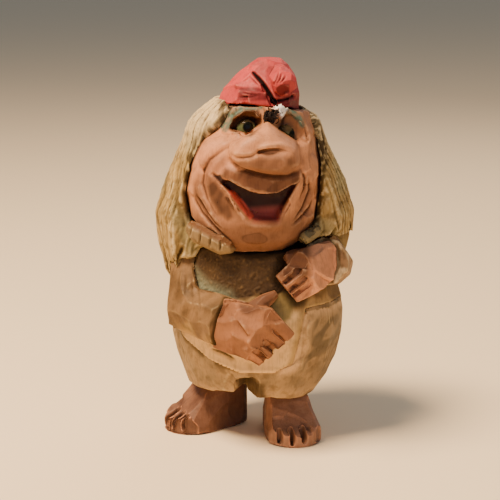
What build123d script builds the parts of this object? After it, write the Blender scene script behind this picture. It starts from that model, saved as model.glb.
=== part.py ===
# A carved and painted wooden troll of the folk-souvenir kind, standing barefoot and laughing.
# It is a built-up carving: knife-cut blocks that are glued on flat or coped seats, most with a dowel.
# Right and left are the troll's own. Front is -Y, up is +Z, and the soles stand on Z = 0.
import os
from collections import namedtuple
from math import cos, pi, radians, sin, sqrt, tan

from build123d import *

os.makedirs("parts", exist_ok=True)

# Driving dimensions, in millimetres
ANKLE_HEIGHT = 18.0  # sole to trouser hem
BODY_HEIGHT = 65.0  # trouser hem to the flat under the head
HEAD_HEIGHT = 56.0  # flat under the head to the middle of the seat under the cap
CAP_TILT = 10.0  # degrees that the cap leans back on the brows
CAP_ROLL = 4.0  # degrees that it sags to the troll's left
CAP_HEIGHT = 21.4
BODY_HALF_WIDTH = 37.5
HEAD_HALF_WIDTH = 29.5
HAIR_HALF_WIDTH = 43.0
CAP_HALF_WIDTH = 17.6

# The body's axis stands behind the middle of the base, because the nose reaches further than the hair
AXIS_X = 1.0
AXIS_Y = 4.3

HEM_Z = ANKLE_HEIGHT
NECK_Z = HEM_Z + BODY_HEIGHT
BROW_Z = NECK_Z + HEAD_HEIGHT

# Every section of a block has one outline, scaled and shifted, so each facet is a flat knife cut.
# A shape's rows are: share of the height, share of the half width, shift to the side, shift to the back.
Block = namedtuple("Block", "base height half_width aspect sides shape")

BODY = Block(
    HEM_Z, BODY_HEIGHT, BODY_HALF_WIDTH, 0.9, 16,
    ((0.0, 0.7, -2.6, 0.0), (0.1, 0.82, -1.2, 0.0), (0.24, 0.92, 0.0, -0.5), (0.42, 0.99, 0.0, -1.0),
     (0.56, 1.0, 0.0, -1.0), (0.74, 0.93, 0.0, -1.0), (0.89, 0.84, 0.0, -2.0), (1.0, 0.74, 0.0, -4.0)),
)
HEAD = Block(
    NECK_Z, HEAD_HEIGHT, HEAD_HALF_WIDTH, 0.95, 14,
    ((0.0, 0.51, -0.8, -14.0), (0.09, 0.75, -1.2, -12.8), (0.22, 0.92, -1.6, -10.5), (0.42, 1.0, -1.8, -8.3),
     (0.62, 0.98, -0.8, -7.2), (0.8, 0.86, 0.6, -6.6), (1.0, 0.64, 2.6, -6.5), (1.14, 0.48, 3.2, -6.5)),
)
HAIR_LENGTH = 80.0  # from the flat under the cap down to the ends behind
HAIR = Block(
    BROW_Z - HAIR_LENGTH, HAIR_LENGTH, HAIR_HALF_WIDTH, 0.82, 16,
    ((0.0, 0.78, -1.0, 2.0), (0.14, 0.9, -1.0, 2.0), (0.3, 0.98, -0.8, 2.0), (0.46, 1.0, -1.0, 2.0),
     (0.62, 0.91, -0.8, 2.0), (0.78, 0.77, -1.2, 1.0), (0.92, 0.62, -1.2, -1.0), (1.0, 0.52, -0.6, -2.0),
     (1.06, 0.42, 0.0, -2.0)),
)
CAP = Block(
    BROW_Z, CAP_HEIGHT, CAP_HALF_WIDTH, 1.0, 11,
    ((-0.25, 1.0, 0.2, -3.0), (0.0, 1.0, 0.4, -3.0), (0.32, 0.96, 1.4, -3.0), (0.64, 0.76, 3.2, -3.0),
     (0.88, 0.47, 4.6, -3.0), (1.0, 0.27, 5.0, -3.0)),
)


FLAT_ENOUGH = 1e-6  # cubic millimetres by which four corners may miss one plane


def spot(x, y, z):
    """A point at x and y from the body's axis, z above the floor."""
    return Vector(AXIS_X + x, AXIS_Y + y, z)


def oval(half_width, half_depth, sides):
    """Corners of a many-sided oval with a flat side towards the front."""
    step = 2 * pi / sides
    angles = [(k + 0.5) * step - pi / 2 for k in range(sides)]
    return [(half_width * cos(a), half_depth * sin(a)) for a in angles]


def ring(plane, corners):
    """Corners drawn on a plane, as points in space."""
    return [plane.from_local_coords(Vector(u, v, 0)) for u, v in corners]


def faceted(rings):
    """A solid with flat knife facets, skinned over a row of rings that have as many corners each."""
    facets = [rings[0], rings[-1]]
    for low, high in zip(rings, rings[1:]):
        for a, b, c, d in zip(low, low[1:] + low[:1], high[1:] + high[:1], high):
            bulge = (b - a).cross(c - a).dot(d - a)
            facets += [(a, b, c, d)] if abs(bulge) < FLAT_ENOUGH else [(a, b, c), (a, c, d)]
    return Solid(Shell([Face(Wire.make_polygon(corners)) for corners in facets]))


def blank(block):
    """A block before its features are cut: a stack of many-sided sections."""
    rings = []
    for share, width, side, back in block.shape:
        half_width = width * block.half_width
        level = Plane(spot(side, back, block.base + share * block.height))
        rings.append(ring(level, oval(half_width, block.aspect * half_width, block.sides)))
    return faceted(rings)


def skin(block, x, z):
    """Where a block's front surface stands, from the body's axis, at side x and height z."""
    share = (z - block.base) / block.height
    for low, high in zip(block.shape, block.shape[1:]):
        if low[0] <= share <= high[0]:
            t = (share - low[0]) / (high[0] - low[0])
            width, side, back = (a + t * (b - a) for a, b in zip(low[1:], high[1:]))
            half_width = width * block.half_width
            return back - block.aspect * sqrt(half_width**2 - (x - side) ** 2)
    raise ValueError(f"height {z} is outside the block")


def on_body(x, z, proud):
    """A point in front of the body's surface by the given amount."""
    return spot(x, skin(BODY, x, z) - proud, z)


CAP_SEAT = Plane(spot(0, 0, BROW_Z), z_dir=(tan(radians(CAP_ROLL)), tan(radians(CAP_TILT)), 1))

# Dowels: one spec gives both the peg and the holes that take it
DOWEL_GAP = 0.05  # radial glue gap
DOWEL_END_GAP = 0.5
Dowel = namedtuple("Dowel", "start end radius")


def peg(dowel, gap=0.0, end_gap=0.0):
    """A dowel's cylinder, or with gaps the hole drilled for it."""
    run = dowel.end - dowel.start
    direction = run.normalized()
    plane = Plane(dowel.start - direction * end_gap, z_dir=direction)
    return Solid.make_cylinder(dowel.radius + gap, run.length + 2 * end_gap, plane)


def hole(dowel):
    return peg(dowel, DOWEL_GAP, DOWEL_END_GAP)


def upright(x, y, z, radius, length):
    """A dowel that stands across a flat joint at height z."""
    return Dowel(spot(x, y, z - length / 2), spot(x, y, z + length / 2), radius)


# Feet: a heel and a ball joined by a hull, pared down over the instep, with toes parted by V cuts
HEEL_RADIUS = 8.5
BALL_RADIUS = 12.0
HEEL_SETBACK = 2.0  # heel centre behind the ankle's centre
FOOT_REACH = 16.0  # ball centre in front of the ankle's centre
TOE_HEIGHT = 8.0
TOE_CUTS = (0.42, 0.63, 0.83)  # shares of the foot's width, from the big toe's side
TOE_LENGTH = 7.0
TOE_SOLE = 1.0  # wood left under the cuts between the toes
TOE_CUT_WIDTH = 2.0
FLANK_LEAN = 14.0  # degrees that each side of the foot leans in
RIGHT_HEM_RISE = 3.0  # the right trouser leg is this much shorter
# Ankle centre, ankle height, the turn of the toes from straight ahead, and the side of the big toe
Foot = namedtuple("Foot", "x y height splay inner")
RIGHT_FOOT = Foot(-14.5, 4.0, ANKLE_HEIGHT + RIGHT_HEM_RISE, 62.0, 1)
LEFT_FOOT = Foot(11.5, -4.0, ANKLE_HEIGHT, -14.0, -1)
ANKLE_DOWEL_RADIUS = 3.0
ANKLE_DOWEL_LENGTH = 18.0


def ankle_dowel(foot):
    return upright(foot.x, foot.y, foot.height, ANKLE_DOWEL_RADIUS, ANKLE_DOWEL_LENGTH)


def carve_foot(foot):
    """One foot, standing on the floor and cut flat at the trouser hem."""
    ankle = spot(foot.x, foot.y, 0)
    up = Vector(0, 0, 1)
    ahead = Vector(0, -1, 0).rotate(Axis.Z, -foot.splay)
    across = ahead.cross(up)
    toe_tip = FOOT_REACH + BALL_RADIUS
    with BuildPart() as carved:
        with BuildSketch(Plane(ankle, x_dir=across, z_dir=up)):
            with Locations((0, -HEEL_SETBACK)):
                Circle(HEEL_RADIUS)
            with Locations((0, FOOT_REACH)):
                Circle(BALL_RADIUS)
            make_hull()
        extrude(amount=foot.height)
        # Instep, then a lean pared off each side
        instep_run = toe_tip - HEEL_RADIUS
        instep_fall = foot.height - TOE_HEIGHT
        instep_top = ankle + ahead * HEEL_RADIUS + up * foot.height
        split(bisect_by=Plane(instep_top, z_dir=ahead * instep_fall + up * instep_run), keep=Keep.BOTTOM)
        for side in (across, -across):
            edge = ankle + side * BALL_RADIUS + up * (TOE_HEIGHT / 2)
            split(bisect_by=Plane(edge, z_dir=side + up * tan(radians(FLANK_LEAN))), keep=Keep.BOTTOM)
        # V cuts between the toes, running back from the tips
        with BuildSketch(Plane(ankle + ahead * toe_tip, x_dir=-across, z_dir=ahead)):
            with Locations(*[(foot.inner * BALL_RADIUS * (2 * share - 1), 0) for share in TOE_CUTS]):
                Polygon(
                    (0, TOE_SOLE),
                    (-TOE_CUT_WIDTH / 2, TOE_HEIGHT / 2),
                    (-TOE_CUT_WIDTH / 2, foot.height),
                    (TOE_CUT_WIDTH / 2, foot.height),
                    (TOE_CUT_WIDTH / 2, TOE_HEIGHT / 2),
                    align=None,
                )
        extrude(amount=-TOE_LENGTH, mode=Mode.SUBTRACT)
        add(hole(ankle_dowel(foot)), mode=Mode.SUBTRACT)
    return carved


right_foot = carve_foot(RIGHT_FOOT)
left_foot = carve_foot(LEFT_FOOT)

# Trousers: the lower block, with a slanting seat under the belly, a level seat behind and at the left hip,
# and a notch between the legs at the front and the back
SEAT_FRONT = 15.0  # hem to the low point of the seat, in front
SEAT_DROP = 23.0  # flat under the head to the level seat, which stays clear of the arms' dowels
SEAT_BACK = BODY_HEIGHT - SEAT_DROP  # hem to the level seat
SEAT_TILT = 46.0
HIP_X = 14.0  # side where the belly ends and the left hip begins, at the height of the seat's low point
HIP_LEAN = 12.0  # degrees that this edge leans outwards
LEG_GAP_X = -4.2
LEG_GAP_HEIGHT = 11.0
LEG_GAP_FLARE = 8.0  # half width of the notch at the front and the back
LEG_GAP_REACH = 24.0  # how deep it goes from the widest part of the body
HIP_DOWEL_X = (-16.0, 16.0)
HIP_DOWEL_Y = 10.0
HIP_DOWELS = [upright(x, HIP_DOWEL_Y, HEM_Z + SEAT_BACK, 3.0, 20.0) for x in HIP_DOWEL_X]

seat_low = on_body(0, HEM_Z + SEAT_FRONT, 0)
hip_edge = spot(HIP_X, 0, HEM_Z + SEAT_FRONT)
PAST_BODY = 4 * BODY_HALF_WIDTH  # long enough for a cut to clear the body
with BuildPart() as tunic_space:
    with Locations(spot(0, 0, NECK_Z)):
        Box(PAST_BODY, PAST_BODY, PAST_BODY)
    split(bisect_by=Plane(seat_low, z_dir=(0, -tan(radians(SEAT_TILT)), 1)), keep=Keep.TOP)
    split(bisect_by=Plane(hip_edge, z_dir=(1, 0, -tan(radians(HIP_LEAN)))), keep=Keep.BOTTOM)
    with Locations(spot(0, 0, HEM_Z + SEAT_BACK)):
        Box(PAST_BODY, PAST_BODY, PAST_BODY, align=(Align.CENTER, Align.CENTER, Align.MIN))

with BuildPart() as trousers:
    add(blank(BODY))
    add(tunic_space.part, mode=Mode.SUBTRACT)
    gap_depth = BODY.aspect * BODY_HALF_WIDTH
    with BuildSketch(Plane(spot(LEG_GAP_X, 0, HEM_Z))):
        for side in (-1, 1):
            Polygon(
                (-LEG_GAP_FLARE, side * gap_depth),
                (LEG_GAP_FLARE, side * gap_depth),
                (0, side * (gap_depth - LEG_GAP_REACH)),
                align=None,
            )
    extrude(amount=LEG_GAP_HEIGHT, taper=4, mode=Mode.SUBTRACT)
    with BuildSketch(Plane(spot(LEG_GAP_X, 0, HEM_Z))):
        Rectangle(2 * BODY_HALF_WIDTH, 2 * gap_depth, align=(Align.MAX, Align.CENTER))
    extrude(amount=RIGHT_HEM_RISE, mode=Mode.SUBTRACT)
    for dowel in (*HIP_DOWELS, ankle_dowel(RIGHT_FOOT), ankle_dowel(LEFT_FOOT)):
        add(hole(dowel), mode=Mode.SUBTRACT)

# Sleeves: bent round logs, coped to the trunk and held by a dowel through the upper arm
LIMB_SIDES = 9
ARM_DOWEL_SHARE = 0.6  # place of the dowel along the upper arm
ARM_DOWEL_RADIUS = 2.0
ARM_DOWEL_DEPTH = 8.0  # inwards from the sleeve's axis
SLEEVE_SKIN = 2.5  # wood left outside the dowel's end
# Wrists: the side and height of each on the belly, which its cuff and its hand share
RIGHT_WRIST_X = -11.0
RIGHT_WRIST_DROP = 28.5  # below the flat under the head
LEFT_WRIST_INSET = 9.5  # from the body's widest side
LEFT_WRIST_DROP = 5.0
RIGHT_WRIST = (RIGHT_WRIST_X, NECK_Z - RIGHT_WRIST_DROP)
LEFT_WRIST = (BODY_HALF_WIDTH - LEFT_WRIST_INSET, NECK_Z - LEFT_WRIST_DROP)
Arm = namedtuple("Arm", "shoulder elbow cuff shoulder_radius elbow_radius cuff_radius")
RIGHT_ARM = Arm(
    spot(-0.68 * BODY_HALF_WIDTH, -4.0, NECK_Z - 4.0),
    spot(-0.66 * BODY_HALF_WIDTH, -14.0, NECK_Z - 27.0),
    on_body(*RIGHT_WRIST, 2.0),
    11.5, 15.0, 11.0,
)
LEFT_ARM = Arm(
    spot(0.66 * BODY_HALF_WIDTH, 0.0, NECK_Z - 1.0),
    spot(0.84 * BODY_HALF_WIDTH, 1.0, NECK_Z - 14.0),
    on_body(*LEFT_WRIST, 8.0),
    9.5, 11.0, 10.5,
)


def arm_dowel(arm):
    middle = arm.shoulder + (arm.elbow - arm.shoulder) * ARM_DOWEL_SHARE
    outward = (middle - spot(0, 0, middle.Z)).normalized()
    reach = arm.shoulder_radius + (arm.elbow_radius - arm.shoulder_radius) * ARM_DOWEL_SHARE - SLEEVE_SKIN
    return Dowel(middle - outward * ARM_DOWEL_DEPTH, middle + outward * reach, ARM_DOWEL_RADIUS)


# Trunk: the tunic, with the belly that hangs over the trousers
NECK_DOWEL = upright(-1.0, -9.0, NECK_Z, 4.0, 30.0)
with BuildPart() as trunk:
    add(blank(BODY))
    add(tunic_space.part, mode=Mode.INTERSECT)
    for dowel in (*HIP_DOWELS, NECK_DOWEL, arm_dowel(RIGHT_ARM), arm_dowel(LEFT_ARM)):
        add(hole(dowel), mode=Mode.SUBTRACT)

# Hands: a mitten-shaped blank that lies along the belly, with fingers parted by V cuts, and a thumb
WRIST_THICKNESS = 10.0
WRIST_SINK = 5.0  # how far the wrist is drawn into the cuff before it is coped to it
PALM_THICKNESS = 10.5
TIPS_THICKNESS = 6.0
HAND_SIDES = 8
FINGER_COUNT = 4
FINGER_CUT_WIDTH = 1.8
FINGER_CUT_LENGTH = 9.0
THUMB_RADIUS = 3.4
THUMB_SIDES = 7
THUMB_SHAPE = ((0.0, 1.0), (0.6, 0.95), (1.0, 0.55))  # share of the length, share of the radius
WRIST_DOWEL_RADIUS = 2.0
WRIST_DOWEL_DEPTH = 7.0  # into the hand, and as much into the sleeve


def from_wrist(wrist, across, up, proud):
    """A point of a hand, placed on the belly from its wrist and in front of the surface."""
    return on_body(wrist[0] + across, wrist[1] + up, proud)


Hand = namedtuple(
    "Hand", "wrist knuckles tips wrist_width palm_width tips_width outward thumb_root thumb_tip"
)
RIGHT_HAND = Hand(
    from_wrist(RIGHT_WRIST, 0.0, 0.0, 3.5),
    from_wrist(RIGHT_WRIST, 11.0, -2.5, 5.0),
    from_wrist(RIGHT_WRIST, 18.5, -10.5, 3.0),
    23.0, 26.0, 23.0,
    Vector(0, -1, 0),
    from_wrist(RIGHT_WRIST, 8.0, 6.0, 2.5),
    from_wrist(RIGHT_WRIST, 19.0, 12.5, 1.5),
)
LEFT_HAND = Hand(
    from_wrist(LEFT_WRIST, 0.0, 0.0, 8.0),
    from_wrist(LEFT_WRIST, -7.0, -2.0, 6.5),
    from_wrist(LEFT_WRIST, -16.0, -9.5, 2.5),
    17.0, 21.0, 16.0,
    Vector(0.45, -0.87, 0.2),
    from_wrist(LEFT_WRIST, -6.0, 3.5, 4.5),
    from_wrist(LEFT_WRIST, -17.0, 3.5, 2.0),
)


def wrist_dowel(hand):
    along = (hand.knuckles - hand.wrist).normalized() * WRIST_DOWEL_DEPTH
    return Dowel(hand.wrist - along, hand.wrist + along, WRIST_DOWEL_RADIUS)


def log(start, end, radius, shape, sides):
    """A straight faceted piece whose thickness changes along its length."""
    run = end - start
    return faceted([
        ring(Plane(start + run * share, z_dir=run), oval(size * radius, size * radius, sides))
        for share, size in shape
    ])


def carve_sleeve(arm, hand):
    """One bent sleeve, cut to sit on the trunk."""
    upper = arm.elbow - arm.shoulder
    fore = arm.cuff - arm.elbow
    bend = upper.cross(fore)
    stations = (
        (arm.shoulder, upper, arm.shoulder_radius),
        (arm.elbow, upper.normalized() + fore.normalized(), arm.elbow_radius),
        (arm.cuff, fore, arm.cuff_radius),
    )
    rings = [
        ring(Plane(point, x_dir=bend, z_dir=direction), oval(radius, radius, LIMB_SIDES))
        for point, direction, radius in stations
    ]
    with BuildPart() as carved:
        add(faceted(rings))
        add(blank(BODY), mode=Mode.SUBTRACT)
        for dowel in (arm_dowel(arm), wrist_dowel(hand)):
            add(hole(dowel), mode=Mode.SUBTRACT)
    return carved


right_sleeve = carve_sleeve(RIGHT_ARM, RIGHT_HAND)
left_sleeve = carve_sleeve(LEFT_ARM, LEFT_HAND)


def carve_hand(hand, sleeve):
    """One hand, cut to lie on the trunk and to butt against its sleeve."""
    palm = hand.knuckles - hand.wrist
    fingers = hand.tips - hand.knuckles
    stations = (
        (hand.wrist - palm.normalized() * WRIST_SINK, palm, hand.wrist_width, WRIST_THICKNESS),
        (hand.knuckles, palm.normalized() + fingers.normalized(), hand.palm_width, PALM_THICKNESS),
        (hand.tips, fingers, hand.tips_width, TIPS_THICKNESS),
    )
    rings = [
        ring(
            Plane(point, x_dir=hand.outward.cross(direction), z_dir=direction),
            oval(width / 2, thickness / 2, HAND_SIDES),
        )
        for point, direction, width, thickness in stations
    ]
    with BuildPart() as carved:
        add(faceted(rings))
        # Finger gaps, cut from the tips back towards the knuckles
        with BuildSketch(Plane(hand.tips, x_dir=hand.outward.cross(fingers), z_dir=fingers)):
            with GridLocations(hand.tips_width / FINGER_COUNT, 1, FINGER_COUNT - 1, 1):
                Polygon(
                    (0, -TIPS_THICKNESS / 4),
                    (FINGER_CUT_WIDTH, PALM_THICKNESS),
                    (-FINGER_CUT_WIDTH, PALM_THICKNESS),
                    align=None,
                )
        extrude(amount=-FINGER_CUT_LENGTH, mode=Mode.SUBTRACT)
        add(log(hand.thumb_root, hand.thumb_tip, THUMB_RADIUS, THUMB_SHAPE, THUMB_SIDES))
        for neighbour in (blank(BODY), sleeve.part):
            add(neighbour, mode=Mode.SUBTRACT)
        add(hole(wrist_dowel(hand)), mode=Mode.SUBTRACT)
    return carved


right_hand = carve_hand(RIGHT_HAND, right_sleeve)
left_hand = carve_hand(LEFT_HAND, left_sleeve)

# Head: the face block. Places on the face are a side and a height above the flat under the head.
Eye = namedtuple("Eye", "x height socket")
EYES = {
    "right_eye": Eye(
        -5.6, 52.4,
        ((-12.7, 50.4), (-9.2, 56.4), (-4.6, 59.6), (0.4, 59.0), (2.2, 53.5), (-1.5, 48.4), (-7.0, 48.0)),
    ),
    "left_eye": Eye(
        13.0, 49.6,
        ((6.8, 52.0), (8.8, 57.2), (13.0, 58.4), (17.5, 56.2), (20.8, 50.5), (21.2, 44.2), (15.5, 44.0),
         (9.0, 47.0)),
    ),
}
EYE_RADIUS = 4.2
EYE_SINK = 4.0  # centre of the bead behind the face
EYE_SIDES = 10
EYE_BANDS = 6
SOCKET_DEPTH = 5.0
SOCKET_FLOOR = 0.62  # share of the socket's outline that its floor has
BROW_WIDTH = 1.8  # rim round each socket
BROW_REACH = 2.0
CHEEKS = ((-17.0, 40.5), (19.5, 35.5))
# Proud of the face, half width, half height
CHEEK_SHAPE = ((-5.0, 10.0, 9.0), (0.2, 9.2, 8.2), (1.6, 6.2, 5.6), (2.1, 2.8, 2.4))
CHEEK_SIDES = 9
MOUTH = ((-18.6, 31.0), (-11.0, 24.4), (-3.4, 14.4), (-0.8, 13.2), (8.6, 13.2), (10.2, 17.4), (18.4, 30.0),
         (2.0, 32.0))
MOUTH_MIDDLE = (1.5, 24.0)
MOUTH_DEPTH = 7.0
MOUTH_FLOOR = 0.78  # share of the mouth's outline that its floor has
LIP_WIDTH = 2.0
LIP_REACH = 1.2
LIP_BAND = ((-13.0, 36.6), (-15.4, 33.0), (-4.2, 27.2), (0.4, 25.8), (7.9, 25.6), (16.8, 29.8), (18.4, 35.8),
            (14.0, 41.0), (-9.0, 41.0))
LIP_BAND_REACH = 3.0
NOSE = ((4.2, 54.0), (-2.5, 50.0), (-10.6, 45.0), (-11.4, 41.0), (-7.5, 36.2), (2.0, 33.2), (12.0, 32.6),
        (17.2, 38.0), (16.2, 45.5), (9.0, 50.5))
NOSE_MIDDLE = (3.0, 39.5)
NOSE_REACH = 12.0
# Share of the nose's reach, share of its width, share of its height
NOSE_SHAPE = ((0.0, 1.0, 1.0), (0.4, 0.98, 0.88), (0.8, 0.86, 0.68), (1.0, 0.56, 0.4))
CREASE_START = 0.0  # side where the crease across the nose begins
CREASE_HEIGHT = 44.6
CREASE_DEPTH = 3.2
CREASE_WIDTH = 3.0
FACE_SINK = 8.0  # how far the nose starts inside the face
CAP_DOWEL = upright(2.5, -4.0, BROW_Z, 3.0, 18.0)


def on_face(x, height):
    """A plane that lies on the face at a place, looking outwards."""
    z = NECK_Z + height
    slope_x = (skin(HEAD, x + 1, z) - skin(HEAD, x - 1, z)) / 2
    slope_z = (skin(HEAD, x, z + 1) - skin(HEAD, x, z - 1)) / 2
    return Plane(spot(x, skin(HEAD, x, z), z), x_dir=(1, slope_x, 0), z_dir=(slope_x, -1, slope_z))


def face_plane(y):
    """An upright plane across the face at y from the body's axis, drawn as seen from the front."""
    return Plane(spot(0, y, NECK_Z), x_dir=(1, 0, 0), z_dir=(0, -1, 0))


def mound(place, shape, sides):
    """A faceted mound on a place of the face. Its rows are: proud of the face, half width, half height."""
    return faceted([ring(place.offset(proud), oval(across, high, sides)) for proud, across, high in shape])


def toward(points, centre, share_x, share_z):
    """Points drawn in towards a centre."""
    return [(centre[0] + share_x * (x - centre[0]), centre[1] + share_z * (z - centre[1])) for x, z in points]


def hollow(outline, centre, depth, floor):
    """A cutter for a hollow in the face, with walls that slope in from an outline to its floor."""
    face_y = skin(HEAD, centre[0], NECK_Z + centre[1])
    narrow = toward(outline, centre, floor, floor)
    return faceted([
        ring(face_plane(face_y + depth), narrow),
        ring(face_plane(face_y), outline),
        ring(face_plane(face_y - PAST_FACE), outline),
    ])


def patch(outline, margin, reach):
    """The part of the face inside an outline and its margin, fuller than the blank by a reach."""
    with BuildPart() as raised:
        add(blank(HEAD._replace(half_width=HEAD_HALF_WIDTH + reach)))
        with BuildSketch(face_plane(0)):
            Polygon(*outline, align=None)
            offset(amount=margin, kind=Kind.INTERSECTION)
        extrude(amount=PAST_FACE, mode=Mode.INTERSECT)
    return raised.part


PAST_FACE = 2 * HEAD_HALF_WIDTH  # long enough for a cut to clear the face
with BuildPart() as head:
    add(blank(HEAD))
    # Cheeks, pushed up by the laugh
    for cheek in CHEEKS:
        add(mound(on_face(*cheek), CHEEK_SHAPE, CHEEK_SIDES))
    # Brows, with the eye sockets cut in them, and the seat for the cap
    for eye in EYES.values():
        add(patch(eye.socket, BROW_WIDTH, BROW_REACH))
        add(hollow(eye.socket, (eye.x, eye.height), SOCKET_DEPTH, SOCKET_FLOOR), mode=Mode.SUBTRACT)
    split(bisect_by=CAP_SEAT, keep=Keep.BOTTOM)
    # Lower lip, the open mouth, and the upper lip that hangs over it
    add(patch(MOUTH, LIP_WIDTH, LIP_REACH))
    add(hollow(MOUTH, MOUTH_MIDDLE, MOUTH_DEPTH, MOUTH_FLOOR), mode=Mode.SUBTRACT)
    add(patch(LIP_BAND, 0, LIP_BAND_REACH))
    # Nose, a broad wedge from between the eyes, with a crease across its left half
    nose_y = skin(HEAD, 0, NECK_Z + NOSE_MIDDLE[1])
    nose_rings = [ring(face_plane(nose_y + FACE_SINK), NOSE)]
    for reach, share_x, share_z in NOSE_SHAPE:
        section = toward(NOSE, NOSE_MIDDLE, share_x, share_z)
        nose_rings.append(ring(face_plane(nose_y - reach * NOSE_REACH), section))
    add(faceted(nose_rings))
    crease_start = spot(CREASE_START, nose_y - NOSE_REACH, NECK_Z + CREASE_HEIGHT)
    with BuildSketch(Plane(crease_start, x_dir=(0, 1, 0), z_dir=(1, 0, 0))):
        Polygon(
            (CREASE_DEPTH, 0),
            (-CREASE_DEPTH, 0),
            (-CREASE_DEPTH, -CREASE_WIDTH),
            (0, -CREASE_WIDTH),
            align=None,
        )
    extrude(amount=PAST_FACE, mode=Mode.SUBTRACT)
    for dowel in (NECK_DOWEL, CAP_DOWEL):
        add(hole(dowel), mode=Mode.SUBTRACT)

# Eyes: small carved beads, glued in the sockets
turns = [(k + 0.5) * pi / EYE_BANDS for k in range(EYE_BANDS)]
BEAD = [(-EYE_RADIUS * cos(a) - EYE_SINK, EYE_RADIUS * sin(a), EYE_RADIUS * sin(a)) for a in turns]
eyes = {}
for name, eye in EYES.items():
    with BuildPart() as bead:
        add(mound(on_face(eye.x, eye.height), BEAD, EYE_SIDES))
        add(head.part, mode=Mode.SUBTRACT)
    eyes[name] = bead

# Collar: a rolled fur collar that shows at each side of the chin
Roll = namedtuple("Roll", "start end radius")
COLLARS = {
    "right_collar": Roll(spot(-28.0, -19.0, NECK_Z + 9.5), spot(-9.5, -30.5, NECK_Z + 3.0), 5.6),
    "left_collar": Roll(spot(17.5, -27.5, NECK_Z + 4.5), spot(26.0, -20.0, NECK_Z + 9.0), 3.8),
}
COLLAR_SHAPE = ((0.0, 0.55), (0.2, 1.0), (0.8, 1.0), (1.0, 0.55))  # share of the length, share of the radius
collars = {}
for name, roll in COLLARS.items():
    with BuildPart() as collar:
        add(log(roll.start, roll.end, roll.radius, COLLAR_SHAPE, LIMB_SIDES))
        for neighbour in (head, trunk, right_sleeve, left_sleeve, right_hand, left_hand):
            add(neighbour.part, mode=Mode.SUBTRACT)
    collars[name] = collar

# Cap: a soft cap with a cleft in front, whose peak is folded over and carved as a block of its own
TIP_RADIUS = 5.8
TIP_SIDES = 8
TIP_SHAPE = ((0.0, 0.8), (0.45, 1.0), (0.8, 0.95), (1.0, 0.6))  # share of the length, share of the radius
CAP_TIP = (spot(8.0, -8.0, BROW_Z + CAP_HEIGHT - 6.0), spot(12.2, -21.0, BROW_Z + CAP_HEIGHT - 10.5))
TIP_DOWEL_RADIUS = 1.5
CLEFT_TOP = (-1.5, 17.0)  # side, and height above the brim
CLEFT_FOOT = (6.5, 3.0)
CLEFT_WIDTH = 2.4
CLEFT_DEPTH = 4.0
tip_run = CAP_TIP[1] - CAP_TIP[0]
TIP_DOWEL = Dowel(CAP_TIP[0] - tip_run * 0.3, CAP_TIP[0] + tip_run * 0.65, TIP_DOWEL_RADIUS)
with BuildPart() as cap:
    add(blank(CAP))
    split(bisect_by=CAP_SEAT, keep=Keep.TOP)
    cleft_y = skin(CAP, CLEFT_FOOT[0], BROW_Z) + CLEFT_DEPTH
    with BuildSketch(Plane(spot(0, cleft_y, BROW_Z), x_dir=(1, 0, 0), z_dir=(0, -1, 0))):
        Polygon(
            CLEFT_TOP,
            (CLEFT_FOOT[0] - CLEFT_WIDTH / 2, CLEFT_FOOT[1]),
            (CLEFT_FOOT[0] + CLEFT_WIDTH / 2, CLEFT_FOOT[1]),
            align=None,
        )
    extrude(amount=2 * CLEFT_DEPTH, mode=Mode.SUBTRACT)
    for dowel in (CAP_DOWEL, TIP_DOWEL):
        add(hole(dowel), mode=Mode.SUBTRACT)

with BuildPart() as cap_tip:
    add(log(*CAP_TIP, TIP_RADIUS, TIP_SHAPE, TIP_SIDES))
    add(cap.part, mode=Mode.SUBTRACT)
    add(hole(TIP_DOWEL), mode=Mode.SUBTRACT)

# Hair: a mane round the face, in a back panel and two side locks
HAIR_FRONT = -17.0
HAIR_SPLIT = 8.0
LOCK_ENDS = (NECK_Z - 16.0, NECK_Z + 4.0)  # right lock, left lock
with BuildPart() as mane:
    add(blank(HAIR))
    split(bisect_by=Plane(spot(0, HAIR_FRONT, 0), z_dir=(0, 1, 0)), keep=Keep.TOP)
    for block in (HEAD, BODY):
        add(blank(block), mode=Mode.SUBTRACT)
    for neighbour in (head, cap, right_sleeve, left_sleeve, *collars.values()):
        add(neighbour.part, mode=Mode.SUBTRACT)
    for dowel in (NECK_DOWEL, CAP_DOWEL, *HIP_DOWELS, arm_dowel(RIGHT_ARM), arm_dowel(LEFT_ARM)):
        add(hole(dowel), mode=Mode.SUBTRACT)

with BuildPart() as hair_back:
    add(mane.part)
    split(bisect_by=Plane(spot(0, HAIR_SPLIT, 0), z_dir=(0, 1, 0)), keep=Keep.TOP)
locks = {}
for name, side, end in zip(("right_lock", "left_lock"), (-1, 1), LOCK_ENDS):
    with BuildPart() as lock:
        add(mane.part)
        split(bisect_by=Plane(spot(0, HAIR_SPLIT, 0), z_dir=(0, -1, 0)), keep=Keep.TOP)
        split(bisect_by=Plane(spot(0, 0, 0), z_dir=(side, 0, 0)), keep=Keep.TOP)
        split(bisect_by=Plane(spot(0, 0, end), z_dir=(0, 0, 1)), keep=Keep.TOP)
    locks[name] = lock

# Tuft: a scrap of curly wool stuck between the brows
TUFT_PLACE = (5.0, 54.8)
TUFT_SHAPE = ((0.4, 2.9, 2.9), (2.6, 3.2, 3.2), (3.8, 1.9, 1.9))  # proud of the face, half width, half height
TUFT_SIDES = 8
with BuildPart() as brow_tuft:
    add(mound(on_face(*TUFT_PLACE), TUFT_SHAPE, TUFT_SIDES))
    for neighbour in (head, cap, cap_tip):
        add(neighbour.part, mode=Mode.SUBTRACT)

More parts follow.
